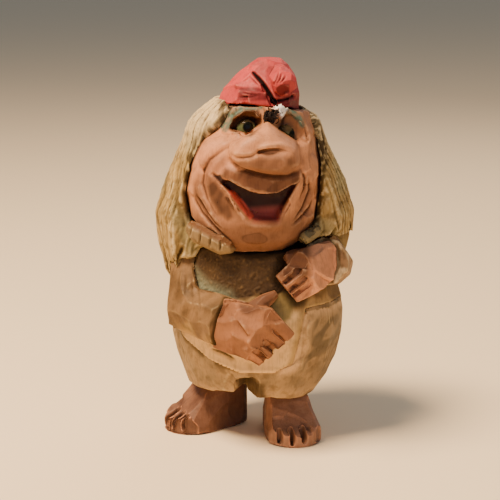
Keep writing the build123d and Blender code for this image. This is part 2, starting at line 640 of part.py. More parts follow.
# Dowels, as pieces
PEGS = {
    "ankle_dowels": (ankle_dowel(RIGHT_FOOT), ankle_dowel(LEFT_FOOT)),
    "hip_dowels": HIP_DOWELS,
    "arm_dowels": (arm_dowel(RIGHT_ARM), arm_dowel(LEFT_ARM)),
    "wrist_dowels": (wrist_dowel(RIGHT_HAND), wrist_dowel(LEFT_HAND)),
    "neck_dowel": (NECK_DOWEL,),
    "cap_dowel": (CAP_DOWEL,),
    "tip_dowel": (TIP_DOWEL,),
}
pegs = {}
for name, dowels in PEGS.items():
    with BuildPart() as group:
        for dowel in dowels:
            add(peg(dowel))
    pegs[name] = group

pieces = {
    "right_foot": right_foot,
    "left_foot": left_foot,
    "trousers": trousers,
    "trunk": trunk,
    "right_sleeve": right_sleeve,
    "left_sleeve": left_sleeve,
    "right_hand": right_hand,
    "left_hand": left_hand,
    "head": head,
    **eyes,
    **collars,
    "hair_back": hair_back,
    **locks,
    "cap": cap,
    "cap_tip": cap_tip,
    "brow_tuft": brow_tuft,
    **pegs,
}
for name, piece in pieces.items():
    piece.part.label = name
    export_step(piece.part, f"parts/{name}.step")
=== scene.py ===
import math

import bpy
import numpy as np
from mathutils import Matrix, Vector, kdtree
from mathutils.bvhtree import BVHTree


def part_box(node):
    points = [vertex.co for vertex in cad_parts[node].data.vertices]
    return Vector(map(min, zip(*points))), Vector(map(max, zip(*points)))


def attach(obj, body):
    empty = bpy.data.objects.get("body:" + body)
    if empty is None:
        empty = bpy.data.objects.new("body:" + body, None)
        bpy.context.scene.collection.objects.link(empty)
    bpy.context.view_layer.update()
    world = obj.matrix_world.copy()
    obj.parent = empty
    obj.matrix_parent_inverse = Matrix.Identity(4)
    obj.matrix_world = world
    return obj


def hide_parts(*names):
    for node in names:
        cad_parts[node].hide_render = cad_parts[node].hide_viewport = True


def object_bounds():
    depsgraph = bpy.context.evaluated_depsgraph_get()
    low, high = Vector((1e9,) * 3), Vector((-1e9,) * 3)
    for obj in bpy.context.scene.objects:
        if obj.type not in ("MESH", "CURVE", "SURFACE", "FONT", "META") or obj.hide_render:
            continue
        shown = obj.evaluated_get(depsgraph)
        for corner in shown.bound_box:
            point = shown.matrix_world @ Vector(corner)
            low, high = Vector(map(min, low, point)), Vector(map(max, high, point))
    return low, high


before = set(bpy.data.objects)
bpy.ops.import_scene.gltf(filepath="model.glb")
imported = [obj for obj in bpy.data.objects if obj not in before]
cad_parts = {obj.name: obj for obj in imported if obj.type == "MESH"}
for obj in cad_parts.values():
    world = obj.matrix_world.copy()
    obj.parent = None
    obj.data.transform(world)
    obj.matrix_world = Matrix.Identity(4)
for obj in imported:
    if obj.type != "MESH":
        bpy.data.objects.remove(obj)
cad_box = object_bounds()

# Feet: two bare feet, each whittled from a small block of birch and dowelled under a trouser leg.
# They are painted terracotta, thin enough that the wood shows on the ridges, with dark wash between the toes.
MM = 0.001
FRONT = (0, -1, 0)  # the way the face looks
AXIS = np.array((1.0, 4.3))  # where the body's axis stands, in mm
WELD = 0.01  # corners nearer than this, in mm, are one


def pick(piece):
    """Makes one object the only selected and active one."""
    bpy.ops.object.select_all(action="DESELECT")
    piece.select_set(True)
    bpy.context.view_layer.objects.active = piece


def wander(points, size, seed):
    """A smooth random field over points in mm, from about -1 to 1, with swells of about the given size."""
    chance = np.random.default_rng(seed)
    field = np.zeros(len(points))
    waves = 9
    for _ in range(waves):
        heading = chance.normal(size=3)
        heading /= np.linalg.norm(heading)
        pitch = 2 * math.pi / (size * chance.uniform(0.7, 1.6))
        field += np.sin(points @ heading * pitch + chance.uniform(0, 2 * math.pi))
    return field / math.sqrt(waves)


def step(values, low, high):
    """A smooth step from 0 at low to 1 at high."""
    share = np.clip((values - low) / (high - low), 0, 1)
    return share * share * (3 - 2 * share)


class Carving:
    """A CAD block as a fine mesh that can be cut. Lengths are in mm, and drawn places are (side, height)."""

    def __init__(self, node, voxel, extra=(), core=1.0):
        """Extra parts are joined on, and the core is the share of the block that is kept under them."""
        self.node = node
        self.piece = bpy.data.objects.new("carved_" + node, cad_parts[node].data.copy())
        bpy.context.scene.collection.objects.link(self.piece)
        self.piece.data.materials.clear()
        middle = Matrix.Translation(sum(map(Vector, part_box(node)), Vector()) / 2)
        self.piece.data.transform(middle @ Matrix.Scale(core, 4) @ middle.inverted())
        pick(self.piece)
        for part in extra:
            part.select_set(True)
        if extra:
            bpy.ops.object.join()
        bpy.ops.object.mode_set(mode="EDIT")
        bpy.ops.mesh.select_all(action="SELECT")
        bpy.ops.mesh.remove_doubles(threshold=WELD * MM)
        bpy.ops.object.mode_set(mode="OBJECT")
        remesh = self.piece.modifiers.new("fine_mesh", "REMESH")
        remesh.mode = "VOXEL"
        remesh.voxel_size = voxel * MM
        bpy.ops.object.modifier_apply(modifier=remesh.name)
        mesh = self.piece.data
        count = len(mesh.vertices)
        flat = np.empty(count * 3, np.float32)
        mesh.vertices.foreach_get("co", flat)
        self.points = flat.reshape(-1, 3).astype(float) / MM
        ends = np.empty(len(mesh.edges) * 2, np.int32)
        mesh.edges.foreach_get("vertices", ends)
        self.ends = ends.reshape(-1, 2)
        self.degree = np.maximum(np.bincount(ends, minlength=count), 1)
        self.tone = np.full(count, 0.5)
        self.dark_wash_and_shade = np.zeros(count)
        self.sharp = np.zeros(count)
        self.look()

    def look(self):
        """Writes the points to the mesh and reads their normals."""
        mesh = self.piece.data
        mesh.vertices.foreach_set("co", (self.points * MM).astype(np.float32).ravel())
        mesh.update()
        flat = np.empty(len(self.points) * 3, np.float32)
        mesh.vertex_normals.foreach_get("vector", flat)
        self.normals = flat.reshape(-1, 3).astype(float)

    def spread(self, values, times=1):
        """Values averaged over the neighbours, some times."""
        a, b = self.ends.T
        count = len(self.points)
        flat = values.reshape(count, -1)
        for _ in range(times):
            columns = [
                np.bincount(a, column[b], count) + np.bincount(b, column[a], count) for column in flat.T
            ]
            flat = np.stack(columns, 1) / self.degree[:, None]
        return flat.reshape(values.shape)

    def soften(self, times, share=0.6, where=1.0):
        """Wears the edges down, over the whole piece or where a mask says."""
        weight = (share * where * (1 - self.sharp))[:, None]
        for _ in range(times):
            self.points += weight * (self.spread(self.points) - self.points)
        self.look()

    def push(self, depth):
        """Cuts inwards by a depth in mm, or raises where it is negative."""
        self.points -= self.normals * depth[:, None]
        self.look()

    def seen(self):
        """Each point's side and height, as seen from the front, and how much it faces that way."""
        side, _, height = self.points.T
        return np.stack((side, height), 1), self.normals @ FRONT

    def trace(self, line, width, taper=True):
        """How near each point is to a line drawn on the front: 1 on it, 0 at its width."""
        flat, facing = self.seen()
        line = np.array(line, float)
        near = np.zeros(len(flat))
        spans = np.linalg.norm(np.diff(line, axis=0), axis=1)
        lengths = np.concatenate(([0], np.cumsum(spans)))
        for start, end, past, span in zip(line, line[1:], lengths, spans):
            share = np.clip((flat - start) @ (end - start) / span**2, 0, 1)
            gap = np.linalg.norm(flat - start - share[:, None] * (end - start), axis=1)
            ends = np.sqrt(np.abs(np.sin(math.pi * (past + share * span) / lengths[-1]))) if taper else 1
            near = np.maximum(near, np.clip(1 - gap / width, 0, 1) * ends)
        return near * step(facing, 0, 0.35)

    def gouge(self, lines, width, depth, taper=True, hollow=False, dark_wash_and_shade=0.0):
        """Cuts along lines, tapering out at their ends: V shaped as by a knife, or hollow as by a gouge.
        The last value is how dark the cut is left: wash, and painted shade where the cut lies under an
        overhang."""
        near = np.zeros(len(self.points))
        for line in lines:
            near = np.maximum(near, self.trace(line, width, taper))
        self.push(depth * (near * near * (3 - 2 * near) if hollow else near))
        self.darken(dark_wash_and_shade * step(near, 0.25, 1))

    def move(self, share, offset):
        """Moves points by an offset in mm, by a share."""
        self.points += np.outer(share, offset)
        self.look()

    def swell(self, centre, radii, height):
        """Raises a round mound on the front."""
        flat, facing = self.seen()
        gap = np.sum(((flat - centre) / radii) ** 2, axis=1)
        self.push(-height * np.exp(-gap) * (facing > 0))

    def inside(self, outline, soft):
        """1 inside an outline drawn on the front, falling to 0 over a soft edge."""
        flat, facing = self.seen()
        outline = np.array(outline, float)
        within = np.zeros(len(flat), bool)
        gap = np.full(len(flat), np.inf)
        for start, end in zip(outline, np.roll(outline, -1, axis=0)):
            run = end - start
            if run[1]:
                crosses = (start[1] > flat[:, 1]) != (end[1] > flat[:, 1])
                within ^= crosses & (flat[:, 0] < start[0] + (flat[:, 1] - start[1]) / run[1] * run[0])
            share = np.clip((flat - start) @ run / (run @ run), 0, 1)
            gap = np.minimum(gap, np.linalg.norm(flat - start - share[:, None] * run, axis=1))
        return step(np.where(within, gap, -gap), -soft, soft) * (facing > 0)

    def pare(self, outline, tone, sink=0.0, soft=0.4):
        """Cuts one flat facet inside a drawn outline, on the plane that fits it best."""
        region = self.inside(outline, soft)
        inner = self.points[(region > 0.5) & (self.normals @ FRONT > 0.5)]
        centre = inner.mean(0)
        normal = np.linalg.svd(inner - centre, full_matrices=False)[2][2]
        normal *= np.sign(normal @ FRONT)
        height = (self.points - centre) @ normal + sink
        # What lies more than about 2 mm off the plane belongs to another form, and stays
        region = region * (1 - step(np.abs(height), 1.2, 2.4))
        self.points -= normal * (height * region)[:, None]
        self.tone += (tone - self.tone) * region
        self.look()

    def fill(self, outline, limit, bottom):
        """Makes the cuts inside a drawn outline no deeper than a limit in mm, down to a bottom depth."""
        flat, facing = self.seen()
        region = self.inside(outline, soft=0.8)
        depth = self.points @ FRONT
        outer = (region > 0.5) & (facing > 0.75)
        terms = np.stack((np.ones(len(flat)), *flat.T, *(flat.T ** 2), flat[:, 0] * flat[:, 1]), 1)
        surface = outer
        # The outer surface is fitted over and over, each time without the points that lie in cuts
        for _ in range(4):
            fit = terms @ np.linalg.lstsq(terms[surface], depth[surface], rcond=None)[0]
            surface = outer & (depth > fit - 0.6)
        below = np.clip(fit - depth, 0, None)
        raised = below - limit * (1 - np.exp(-below / limit))
        share = self.spread(region, 3) * (facing > -0.3) * (1 - step(below, bottom - 0.8, bottom))
        self.points += np.outer(raised * share, FRONT)
        self.look()

    def beside(self, node, reach):
        """1 where another block's face lies against this one, falling to 0 at a reach in mm."""
        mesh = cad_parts[node].data
        corners = [vertex.co for vertex in mesh.vertices]
        tree = BVHTree.FromPolygons(corners, [face.vertices for face in mesh.polygons])
        gaps = [tree.find_nearest(Vector(point) * MM, 2 * reach * MM)[3] for point in self.points]
        gaps = np.array([2 * reach if gap is None else gap / MM for gap in gaps])
        return 1 - step(gaps, 0.3 * reach, reach)

    def whittle(self, spacing, sink, tilt, seed, stretch=(1, 1, 1), where=None):
        """Flat knife facets: each point is cut back to the lowest of the planes set near it.
        Every facet keeps a tone of its own, for the paint."""
        chance = np.random.default_rng(seed)
        weight = np.ones(len(self.points)) if where is None else where
        scaled = self.points / np.array(stretch, float)
        broad = self.spread(self.normals, 8)
        broad /= np.linalg.norm(broad, axis=1, keepdims=True) + 1e-9
        spots = np.empty((0, 3))
        chosen = []
        tries = 8000  # places tried for the middle of a facet
        for k in chance.permutation(np.flatnonzero(weight > 0.3))[:tries]:
            if not len(spots) or np.min(np.sum((spots - scaled[k]) ** 2, axis=1)) > spacing**2:
                spots = np.vstack((spots, scaled[k]))
                chosen.append(k)
        cut = np.zeros(len(self.points))
        heading = np.zeros_like(self.points)
        reach = 1.25 * spacing
        for k in chosen:
            normal = broad[k] + chance.normal(size=3) * math.radians(tilt)
            normal /= np.linalg.norm(normal)
            tone = chance.uniform()
            gap = np.sqrt(np.sum((scaled - scaled[k]) ** 2, axis=1)) / reach
            near = np.flatnonzero(gap < 1.3)
            near = near[broad[near] @ normal > 0.6]
            height = (self.points[near] - self.points[k]) @ normal + sink * (1 - 2 * gap[near] ** 4)
            better = height > cut[near]
            cut[near[better]] = height[better]
            heading[near[better]] = normal
            self.tone[near[better]] += (tone - self.tone[near[better]]) * weight[near[better]]
        cut = np.minimum(cut, 3 * sink) * weight
        self.points -= heading * cut[:, None]
        self.look()

    def stipple(self, spacing, depth, seed, where):
        """Small punched dents, close together."""
        chance = np.random.default_rng(seed)
        chosen = np.flatnonzero(where > 0.2)
        count = max(1, int(len(chosen) * 0.14 / spacing**2))  # dents about one spacing apart
        hits = chance.choice(chosen, count, replace=False)
        tree = kdtree.KDTree(len(hits))
        for k, hit in enumerate(hits):
            tree.insert(self.points[hit], k)
        tree.balance()
        dent = np.zeros(len(self.points))
        for k in chosen:
            dent[k] = max(0, 1 - (tree.find(self.points[k])[2] / spacing) ** 2)
        self.push(depth * dent * where)

    def around(self, radius):
        """Distance round the body's axis at a radius, in mm, 0 at the back."""
        side, back = (self.points[:, :2] - AXIS).T
        return np.arctan2(side, back) * radius

    def strands(self, across, spacing, seed):
        """Which strand each point is in, how near to its edge, and a chance number for that edge."""
        chance = np.random.default_rng(seed)
        strand = np.floor(across / spacing).astype(int)
        share = across / spacing - strand
        strand -= strand.min()
        vary = chance.uniform(0.25, 1, strand.max() + 2)
        edge = np.where(share < 0.5, strand, strand + 1)
        return strand, np.abs(2 * share - 1), vary[edge]

    def comb(self, across, spacing, depth, seed, where=1.0, dark_wash_and_shade=0.0):
        """Gouged strands along the lines where a measure across them stays the same."""
        strand, near, vary = self.strands(across, spacing, seed)
        tones = np.random.default_rng(seed + 500).uniform(0, 1, strand.max() + 1)
        self.tone += (tones[strand] - self.tone) * 0.7 * where
        self.push(depth * near**2.5 * vary * where)
        self.darken(dark_wash_and_shade * near**5 * vary * where)

    def fray(self, across, spacing, length, seed):
        """Notches the lower end between strands."""
        _, near, vary = self.strands(across, spacing, seed)
        low = self.points[:, 2] - self.points[:, 2].min()
        self.points[:, 2] += length * near * vary * (1 - step(low, 0, 3 * length))
        self.look()

    def darken(self, values):
        """Leaves dark wash where the values say, beside what is there: wash in cuts, and painted shade where
        parts meet or overhang.
        """
        self.dark_wash_and_shade = np.maximum(self.dark_wash_and_shade, values)

    def mask(self, name, values):
        """Keeps a value for each point, for the paint to read."""
        layer = self.piece.data.attributes.new(name, "FLOAT", "POINT")
        layer.data.foreach_set("value", np.clip(values, 0, 1).astype(np.float32))

    def finish(self, material, slot):
        """Measures where wash collects, where shade is painted in the broad hollows, and where paint wears
        off, and puts the piece in the frame.
        """
        self.points = np.clip(self.points, np.array(cad_box[0]) / MM, np.array(cad_box[1]) / MM)
        self.look()
        # How far each point lies below its neighbours, and below the wider form, in mm
        fine = np.sum((self.spread(self.points, 2) - self.points) * self.normals, axis=1)
        broad = np.sum((self.spread(self.points, 14) - self.points) * self.normals, axis=1)
        fine = self.spread(fine, 1)
        broad = self.spread(broad, 2)
        plain = 1 - self.sharp
        cuts = step(fine, 0.012, 0.11) * 0.5
        # Painted shade in the broad hollows, where little light gets in
        hollow_shade = step(broad, 0.08, 0.7) * 0.85
        ridges = step(-fine, 0.010, 0.08)
        self.mask("wash_and_shade", self.dark_wash_and_shade + plain * (cuts + hollow_shade))
        self.mask("worn", plain * ridges * (1 - self.dark_wash_and_shade))
        self.mask("tone", self.spread(self.tone, 1))
        pick(self.piece)
        bpy.ops.object.shade_smooth()
        self.piece.data.materials.append(material)
        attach(self.piece, "root")
        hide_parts(self.node)


def linear(code):
    """A colour written as sRGB hex, as the linear values that a shader takes."""
    shares = [int(code[k:k + 2], 16) / 255 for k in (1, 3, 5)]
    return (*[s / 12.92 if s <= 0.04045 else ((s + 0.055) / 1.055) ** 2.4 for s in shares], 1)


def place(tree, kind, inputs=None, **settings):
    """Adds a node with its settings. An input is a constant, or a socket to link."""
    node = tree.nodes.new(kind)
    for name, value in settings.items():
        setattr(node, name, value)
    for key, value in (inputs or {}).items():
        if isinstance(value, bpy.types.NodeSocket):
            tree.links.new(value, node.inputs[key])
        else:
            node.inputs[key].default_value = value
    return node


FACTOR, FIRST, SECOND, MIXED = 0, 6, 7, 2  # sockets of a colour mix
LESS, MORE = 2, 3  # sockets of a number mix
LOW, HIGH, TO_LOW, TO_HIGH = 1, 2, 3, 4  # sockets of a map range
GRAIN_WIDTH = 0.8  # streaks of the wood's grain, which runs up the block, in mm
GRAIN_LENGTH = 14
DIRT_SIZE = 4.5  # ragged patches where wash wasn't wiped off
CHIP_SIZE = 2.2  # patches that break up the wear on the ridges
TOOTH = 0.7  # roughness of the brushed wood
TOOTH_DEPTH = 0.12


def painted_wood(
    name, paint, faded_and_shaded, wash_and_shade, bare,
    layers=(), roughness=0.5, shine=0.2, wear=0.7, blotch=9.0, soak=0.85, grime=0.35, facet=0.45,
):
    """Thin paint on carved birch: faded where it soaked in, dark wash in the cuts, bare wood on the ridges.
    The faded colour also paints shade on facets whose tone is set for the light, and the wash colour also
    paints shade where parts meet and in broad hollows. The layers are masks of the piece with the colour
    that is painted there, some of them painted light or shade, and shine is the strength of the
    reflection. Wear is how bare the ridges get, blotch the size of the faded patches in mm, soak how dark
    the wash and painted shade are, grime how dark the wash dries elsewhere, and facet how much of the
    fading follows the knife facets."""
    material = bpy.data.materials.new(name)
    material.use_nodes = True
    tree = material.node_tree
    tree.nodes.clear()
    where = place(tree, "ShaderNodeTexCoord").outputs["Object"]
    read = {}
    for mask in ("tone", "worn", "wash_and_shade", *[mask for mask, _ in layers]):
        read[mask] = place(tree, "ShaderNodeAttribute", attribute_name=mask).outputs["Fac"]
    mottle = place(tree, "ShaderNodeTexNoise", {"Vector": where, "Scale": 1 / (blotch * MM), "Detail": 5.0})
    even = place(tree, "ShaderNodeMapRange", {"Value": mottle.outputs[0], LOW: 0.35, HIGH: 0.68})
    share = place(tree, "ShaderNodeMix", {FACTOR: facet, LESS: even.outputs[0], MORE: read["tone"]})
    stretch = (1 / GRAIN_WIDTH, 1 / GRAIN_WIDTH, 1 / GRAIN_LENGTH)
    along = place(tree, "ShaderNodeMapping", {"Vector": where, "Scale": stretch})
    grain = place(tree, "ShaderNodeTexNoise", {"Vector": along.outputs[0], "Scale": 1 / MM, "Detail": 3.0})
    lines = {"Value": grain.outputs[0], LOW: 0.5, HIGH: 0.78, TO_LOW: 0.0, TO_HIGH: 0.28}
    streak = place(tree, "ShaderNodeMapRange", lines)
    dirt = place(tree, "ShaderNodeTexNoise", {"Vector": where, "Scale": 1 / (DIRT_SIZE * MM), "Detail": 7.0})
    spots = {"Value": dirt.outputs[0], LOW: 0.48, HIGH: 0.7, TO_LOW: 0.0, TO_HIGH: grime}
    dried = place(tree, "ShaderNodeMapRange", spots)
    # Wear starts on the ridges, and wash lies in the cuts, with painted shade where parts meet and in hollows
    patch = place(tree, "ShaderNodeTexNoise", {"Vector": where, "Scale": 1 / (CHIP_SIZE * MM), "Detail": 4.0})
    chips = {"Value": patch.outputs[0], LOW: 0.36, HIGH: 0.62, TO_LOW: 0.0, TO_HIGH: wear}
    broken = place(tree, "ShaderNodeMapRange", chips)
    rubbed = place(tree, "ShaderNodeMath", {0: read["worn"], 1: broken.outputs[0]}, operation="MULTIPLY")
    stain = place(tree, "ShaderNodeMath", {0: read["wash_and_shade"], 1: soak}, operation="MULTIPLY", use_clamp=True)
    coats = [(share.outputs[0], faded_and_shaded)]
    coats += [(read[mask], code) for mask, code in layers]
    coats += [(streak.outputs[0], wash_and_shade), (dried.outputs[0], wash_and_shade)]
    coats += [(rubbed.outputs[0], bare), (stain.outputs[0], wash_and_shade)]
    colour = linear(paint)
    for cover, code in coats:
        coat = {FACTOR: cover, FIRST: colour, SECOND: linear(code)}
        colour = place(tree, "ShaderNodeMix", coat, data_type="RGBA").outputs[MIXED]
    gleam = {LOW: 0.3, HIGH: 0.7, TO_LOW: roughness - 0.09, TO_HIGH: roughness + 0.12}
    sheen = place(tree, "ShaderNodeMapRange", {"Value": patch.outputs[0], **gleam})
    tooth = place(tree, "ShaderNodeTexNoise", {"Vector": where, "Scale": 1 / (TOOTH * MM), "Detail": 3.0})
    uneven = place(tree, "ShaderNodeMath", {0: tooth.outputs[0], 1: grain.outputs[0]}, operation="ADD")
    relief = {"Height": uneven.outputs[0], "Strength": 0.35, "Distance": TOOTH_DEPTH * MM}
    bump = place(tree, "ShaderNodeBump", relief)
    # Wash and painted shade are dull, so that no light glints in the cuts
    dull = {0: stain.outputs[0], 1: 0.45, 2: sheen.outputs[0]}
    finish = place(tree, "ShaderNodeMath", dull, operation="MULTIPLY_ADD", use_clamp=True)
    skin = {"Base Color": colour, "Roughness": finish.outputs[0], "Normal": bump.outputs[0]}
    surface = place(tree, "ShaderNodeBsdfPrincipled", {**skin, "Specular IOR Level": shine})
    place(tree, "ShaderNodeOutputMaterial", {"Surface": surface.outputs[0]})
    return material


# Thin earth-red paint: satin, darker between the toes, the pale wood showing on the toe ridges, with shade
# painted brown round the ankles and over the right foot
foot_paint = painted_wood(
    "terracotta_paint", "#b08061", "#5c3d2d", "#3a2017", "#d09068",
    wear=0.95, blotch=6.0, grime=0.3, facet=0.7,
)
TOE_DROP = 0.3  # share of the height that the toes lose in front of the instep
FEET = (  # each with its ankle's place in mm, and how much painted shade browns it
    ("right_foot", (-13.5, 8.3), 0.7),
    ("left_foot", (12.5, 0.3), 0.0),
)
for seed, (node, ankle, shade) in enumerate(FEET):
    foot = Carving(node, voxel=0.4)
    foot.soften(16)
    out = np.linalg.norm(foot.points[:, :2] - ankle, axis=1)
    foot.points[:, 2] *= 1 - TOE_DROP * step(out, 9, 24)
    foot.look()
    foot.whittle(spacing=6.5, sink=0.4, tilt=6, seed=20 + seed)
    foot.tone = shade + 0.5 * foot.tone
    foot.soften(1, share=0.4)
    foot.points[:, 2] = np.maximum(foot.points[:, 2], 0)
    foot.look()
    # Painted shade round the ankle, under the trouser hem
    foot.dark_wash_and_shade = 0.6 * (1 - step(out, 7, 14))
    foot.finish(foot_paint, "foot_paint")

# Shade is painted dark between the legs, under the belly's roll and above the feet, and light is painted on
# the hems.
# Trousers: the lower block of birch, two short legs with rounded hems, dowelled to the trunk.
# They are stained ochre and left soft, with olive-brown blotches where the stain soaked in.
# Ochre stain: almost matt, blotched by the end grain
trouser_stain = painted_wood(
    "ochre_stain", "#ab8a5e", "#79664a", "#3c2c14", "#dcc38c",
    layers=(("hip", "#61523a"), ("hem", "#d6ae7c")), roughness=0.58, wear=0.5, blotch=8.0, grime=0.5,
)
LEG_GAP = ((-7, 27), (4, 27), (5, 8), (-8, 8))
HIP_BLOTCH = ((15, 32), (22, 31), (34, 40), (38, 64), (18, 66), (19, 50))
LEFT_HEM = (1.2, -0.4, -1.2)  # how the left leg bags out at its hem, in mm
SEAM_REACH = 1.6  # how wide the edge along the seam of trousers and trunk stays crisp, in mm
SEAM_SWELL = 0.3  # how far that edge stands out, so that the seam has no gap
trousers = Carving("trousers", voxel=0.55)
trousers.sharp = trousers.beside("trunk", reach=SEAM_REACH)
trousers.push(-SEAM_SWELL * trousers.sharp)
trousers.soften(14)
side, back, height = trousers.points.T
trousers.move(step(side, 6, 20) * (1 - step(height, 18, 32)), LEFT_HEM)
trousers.whittle(spacing=9.0, sink=0.35, tilt=3, seed=31, stretch=(1, 1, 1.6))
trousers.soften(4)
plush = trousers.around(radius=33) + 2.2 * wander(trousers.points, size=14, seed=32)
matted = step(wander(trousers.points, size=9, seed=34), -0.2, 0.7)
trousers.comb(plush, spacing=2.6, depth=0.35, seed=33, where=matted, dark_wash_and_shade=0.25)
between = trousers.inside(LEG_GAP, soft=1.5) * step(back, -24, -21)
# Painted shade between the legs
trousers.darken(0.85 * between)
front = back < 0
# Painted shade on the trousers under the belly's roll, in patches
belly_shadow = step(wander(trousers.points, size=7, seed=36), -0.3, 0.6) * front * (1 - step(side, 8, 13))
trousers.darken(0.75 * belly_shadow * trousers.beside("trunk", reach=3.0))
# Painted shade on the trousers just above the feet
for node in ("right_foot", "left_foot"):
    trousers.darken(0.9 * trousers.beside(node, reach=2.6))
# Painted light on the hems; the pale rim beside the belly's roll takes the same colour
hem = 0.75 * (1 - step(height, 17, 27)) * (1 - between)
rim = 0.8 * trousers.beside("trunk", reach=7.0) * step(side, 8, 12) * front * (height < 58)
trousers.mask("hem", np.maximum(hem, rim))
hip = trousers.inside(HIP_BLOTCH, soft=4)
trousers.mask("hip", 0.85 * hip * step(wander(trousers.points, size=8, seed=35), -0.3, 0.6))
trousers.finish(trouser_stain, "trouser_stain")

# Trunk: the tunic and the belly, one birch block between trousers and head. The chest is stippled with
# a punch and stained dark brown, and the belly's roll below the hands is pared smooth and left pale.
# Brown stain over punched fur, dull and dark in the dents, with a mossy patch and the pale belly, and shade
# painted dark under the chin and the hands
tunic_stain = painted_wood(
    "brown_stain", "#36271a", "#5e4628", "#160e06", "#8a6c40",
    layers=(
        ("flank", "#ab8b57"), ("belly", "#d9b37b"), ("olive", "#8a7748"), ("moss", "#7b7c62"),
        ("shade_under_hand", "#5f4728"),
    ),
    roughness=0.62, wear=0.3,
)
BELLY_EDGE = (
    (-30, 47), (-25, 37.5), (-18, 33.5), (-9, 31), (-1.6, 30.3), (8, 31), (13.5, 36), (16, 47), (17.5, 57),
)
BELLY_FOLD = ((-18, 40.6), (-9.8, 38), (-2.9, 34.5), (6, 36.3), (12.3, 42.9), (15.2, 52.5))
BELLY = (
    (-32, 49), (-25.4, 36), (-18.2, 31.5), (-9.2, 28), (-1.6, 27), (9, 28.5), (14, 37), (16.4, 47.7),
    (18, 58), (14, 60), (11, 50), (6, 44), (-10, 46), (-24, 48),
)
CUFF_SHADE = ((-19, 42.5), (-13.5, 41), (-8, 38.5))
OLIVE = ((3, 60), (9.7, 68.5), (17, 64), (14.5, 56), (8, 54))
MOSS = ((-27, 76), (-25, 64), (-8, 62), (-10, 67), (-20, 70))
UNDER_HAND_SHADE = ((15, 63), (19, 58), (30, 57), (39, 60), (39, 70), (28, 71), (18, 70))
TRUNK_SHADE = (  # what throws it, how far it reaches in mm, and how dark it is
    ("head", 4.0, 1.0),
    ("left_hand", 4.0, 0.85),
    ("right_hand", 1.6, 0.5),
)
trunk = Carving("trunk", voxel=0.5)
trunk.sharp = trunk.beside("trousers", reach=SEAM_REACH)
trunk.push(-SEAM_SWELL * trunk.sharp)
trunk.soften(8)
roll = [((x0 + x1) / 2, (z0 + z1) / 2) for (x0, z0), (x1, z1) in zip(BELLY_EDGE[2:8], BELLY_FOLD)]
trunk.gouge([roll], width=4.5, depth=-0.9, hollow=True)
trunk.gouge([CUFF_SHADE], width=1.5, depth=0.9, dark_wash_and_shade=0.9)
for node, reach, dark in TRUNK_SHADE:
    trunk.darken(dark * trunk.beside(node, reach))
side, _, height = trunk.points.T
chest = step(height - 64.5 - 0.08 * side + 1.2 * wander(trunk.points, size=7, seed=41), -1.2, 1.2)
trunk.stipple(spacing=0.75, depth=0.4, seed=42, where=chest * (trunk.normals[:, 1] < 0.3))
trunk.mask("flank", 1 - chest)
trunk.mask("belly", trunk.inside(BELLY, soft=1.5))
trunk.mask("olive", trunk.inside(OLIVE, soft=1) * (1 - chest))
trunk.mask("moss", 0.9 * trunk.inside(MOSS, soft=3))
# Painted shade under the left hand, broken into patches
trunk.mask("shade_under_hand", 0.8 * trunk.inside(UNDER_HAND_SHADE, soft=3) * step(wander(trunk.points, size=8, seed=44), -0.6, 0.4))
trunk.finish(tunic_stain, "tunic_stain")

# Sleeves: bent birch logs, coped to the trunk and dowelled to it. The right one has broad facets and a few
# hatching cuts on its upper part, and the left one is gouged like fur, with pale tufts at its cuff.
# Tan stain: satin, paler towards the right cuff, dark between the tool marks, with shade painted dark where
# the cuffs meet the hands
sleeve_stain = painted_wood(
    "tan_stain", "#a68057", "#806243", "#38280f", "#d6b880",
    layers=(("umber", "#684c2c"), ("pale", "#ab874c"), ("cuff", "#e0c596")),
    roughness=0.6, wear=0.4, grime=0.45,
)
HATCH_CUTS = 5
right_sleeve = Carving("right_sleeve", voxel=0.45)
right_sleeve.soften(10)
right_sleeve.whittle(spacing=7.5, sink=0.4, tilt=5, seed=51)
right_sleeve.soften(1, share=0.4)
hatch = [((-33 + 2.2 * k, 77 - 1.5 * k), (-36 + 3.5 * k, 66 - 1.6 * k)) for k in range(HATCH_CUTS)]
right_sleeve.gouge(hatch, width=0.7, depth=0.3, dark_wash_and_shade=0.3)
ragged = 3 * wander(right_sleeve.points, size=12, seed=52) - right_sleeve.points[:, 2]
right_sleeve.mask("pale", 0.8 * step(ragged, -54, -46))
right_sleeve.mask("umber", 0.7 + 0.25 * wander(right_sleeve.points, size=9, seed=56))
# Painted shade where the cuff meets the hand
right_sleeve.darken(0.9 * right_sleeve.beside("right_hand", reach=1.4))
right_sleeve.finish(sleeve_stain, "sleeve_stain")
left_sleeve = Carving("left_sleeve", voxel=0.45)
left_sleeve.soften(8)
fur = left_sleeve.points @ (0.8, 0.5, 0) + 0.5 * wander(left_sleeve.points, size=8, seed=53)
matted = step(wander(left_sleeve.points, size=7, seed=55), -0.8, 0.4)
left_sleeve.comb(fur, spacing=1.6, depth=0.45, seed=54, where=matted, dark_wash_and_shade=0.45)
# Painted shade where the cuff meets the hand
left_sleeve.darken(0.8 * left_sleeve.beside("left_hand", reach=1.2))
tufts = step(wander(left_sleeve.points * (1, 1, 0.4), size=2.5, seed=57), -0.5, 0.5)
left_sleeve.mask("cuff", 0.8 * tufts * left_sleeve.beside("left_hand", reach=8.0))
left_sleeve.finish(sleeve_stain, "sleeve_stain")

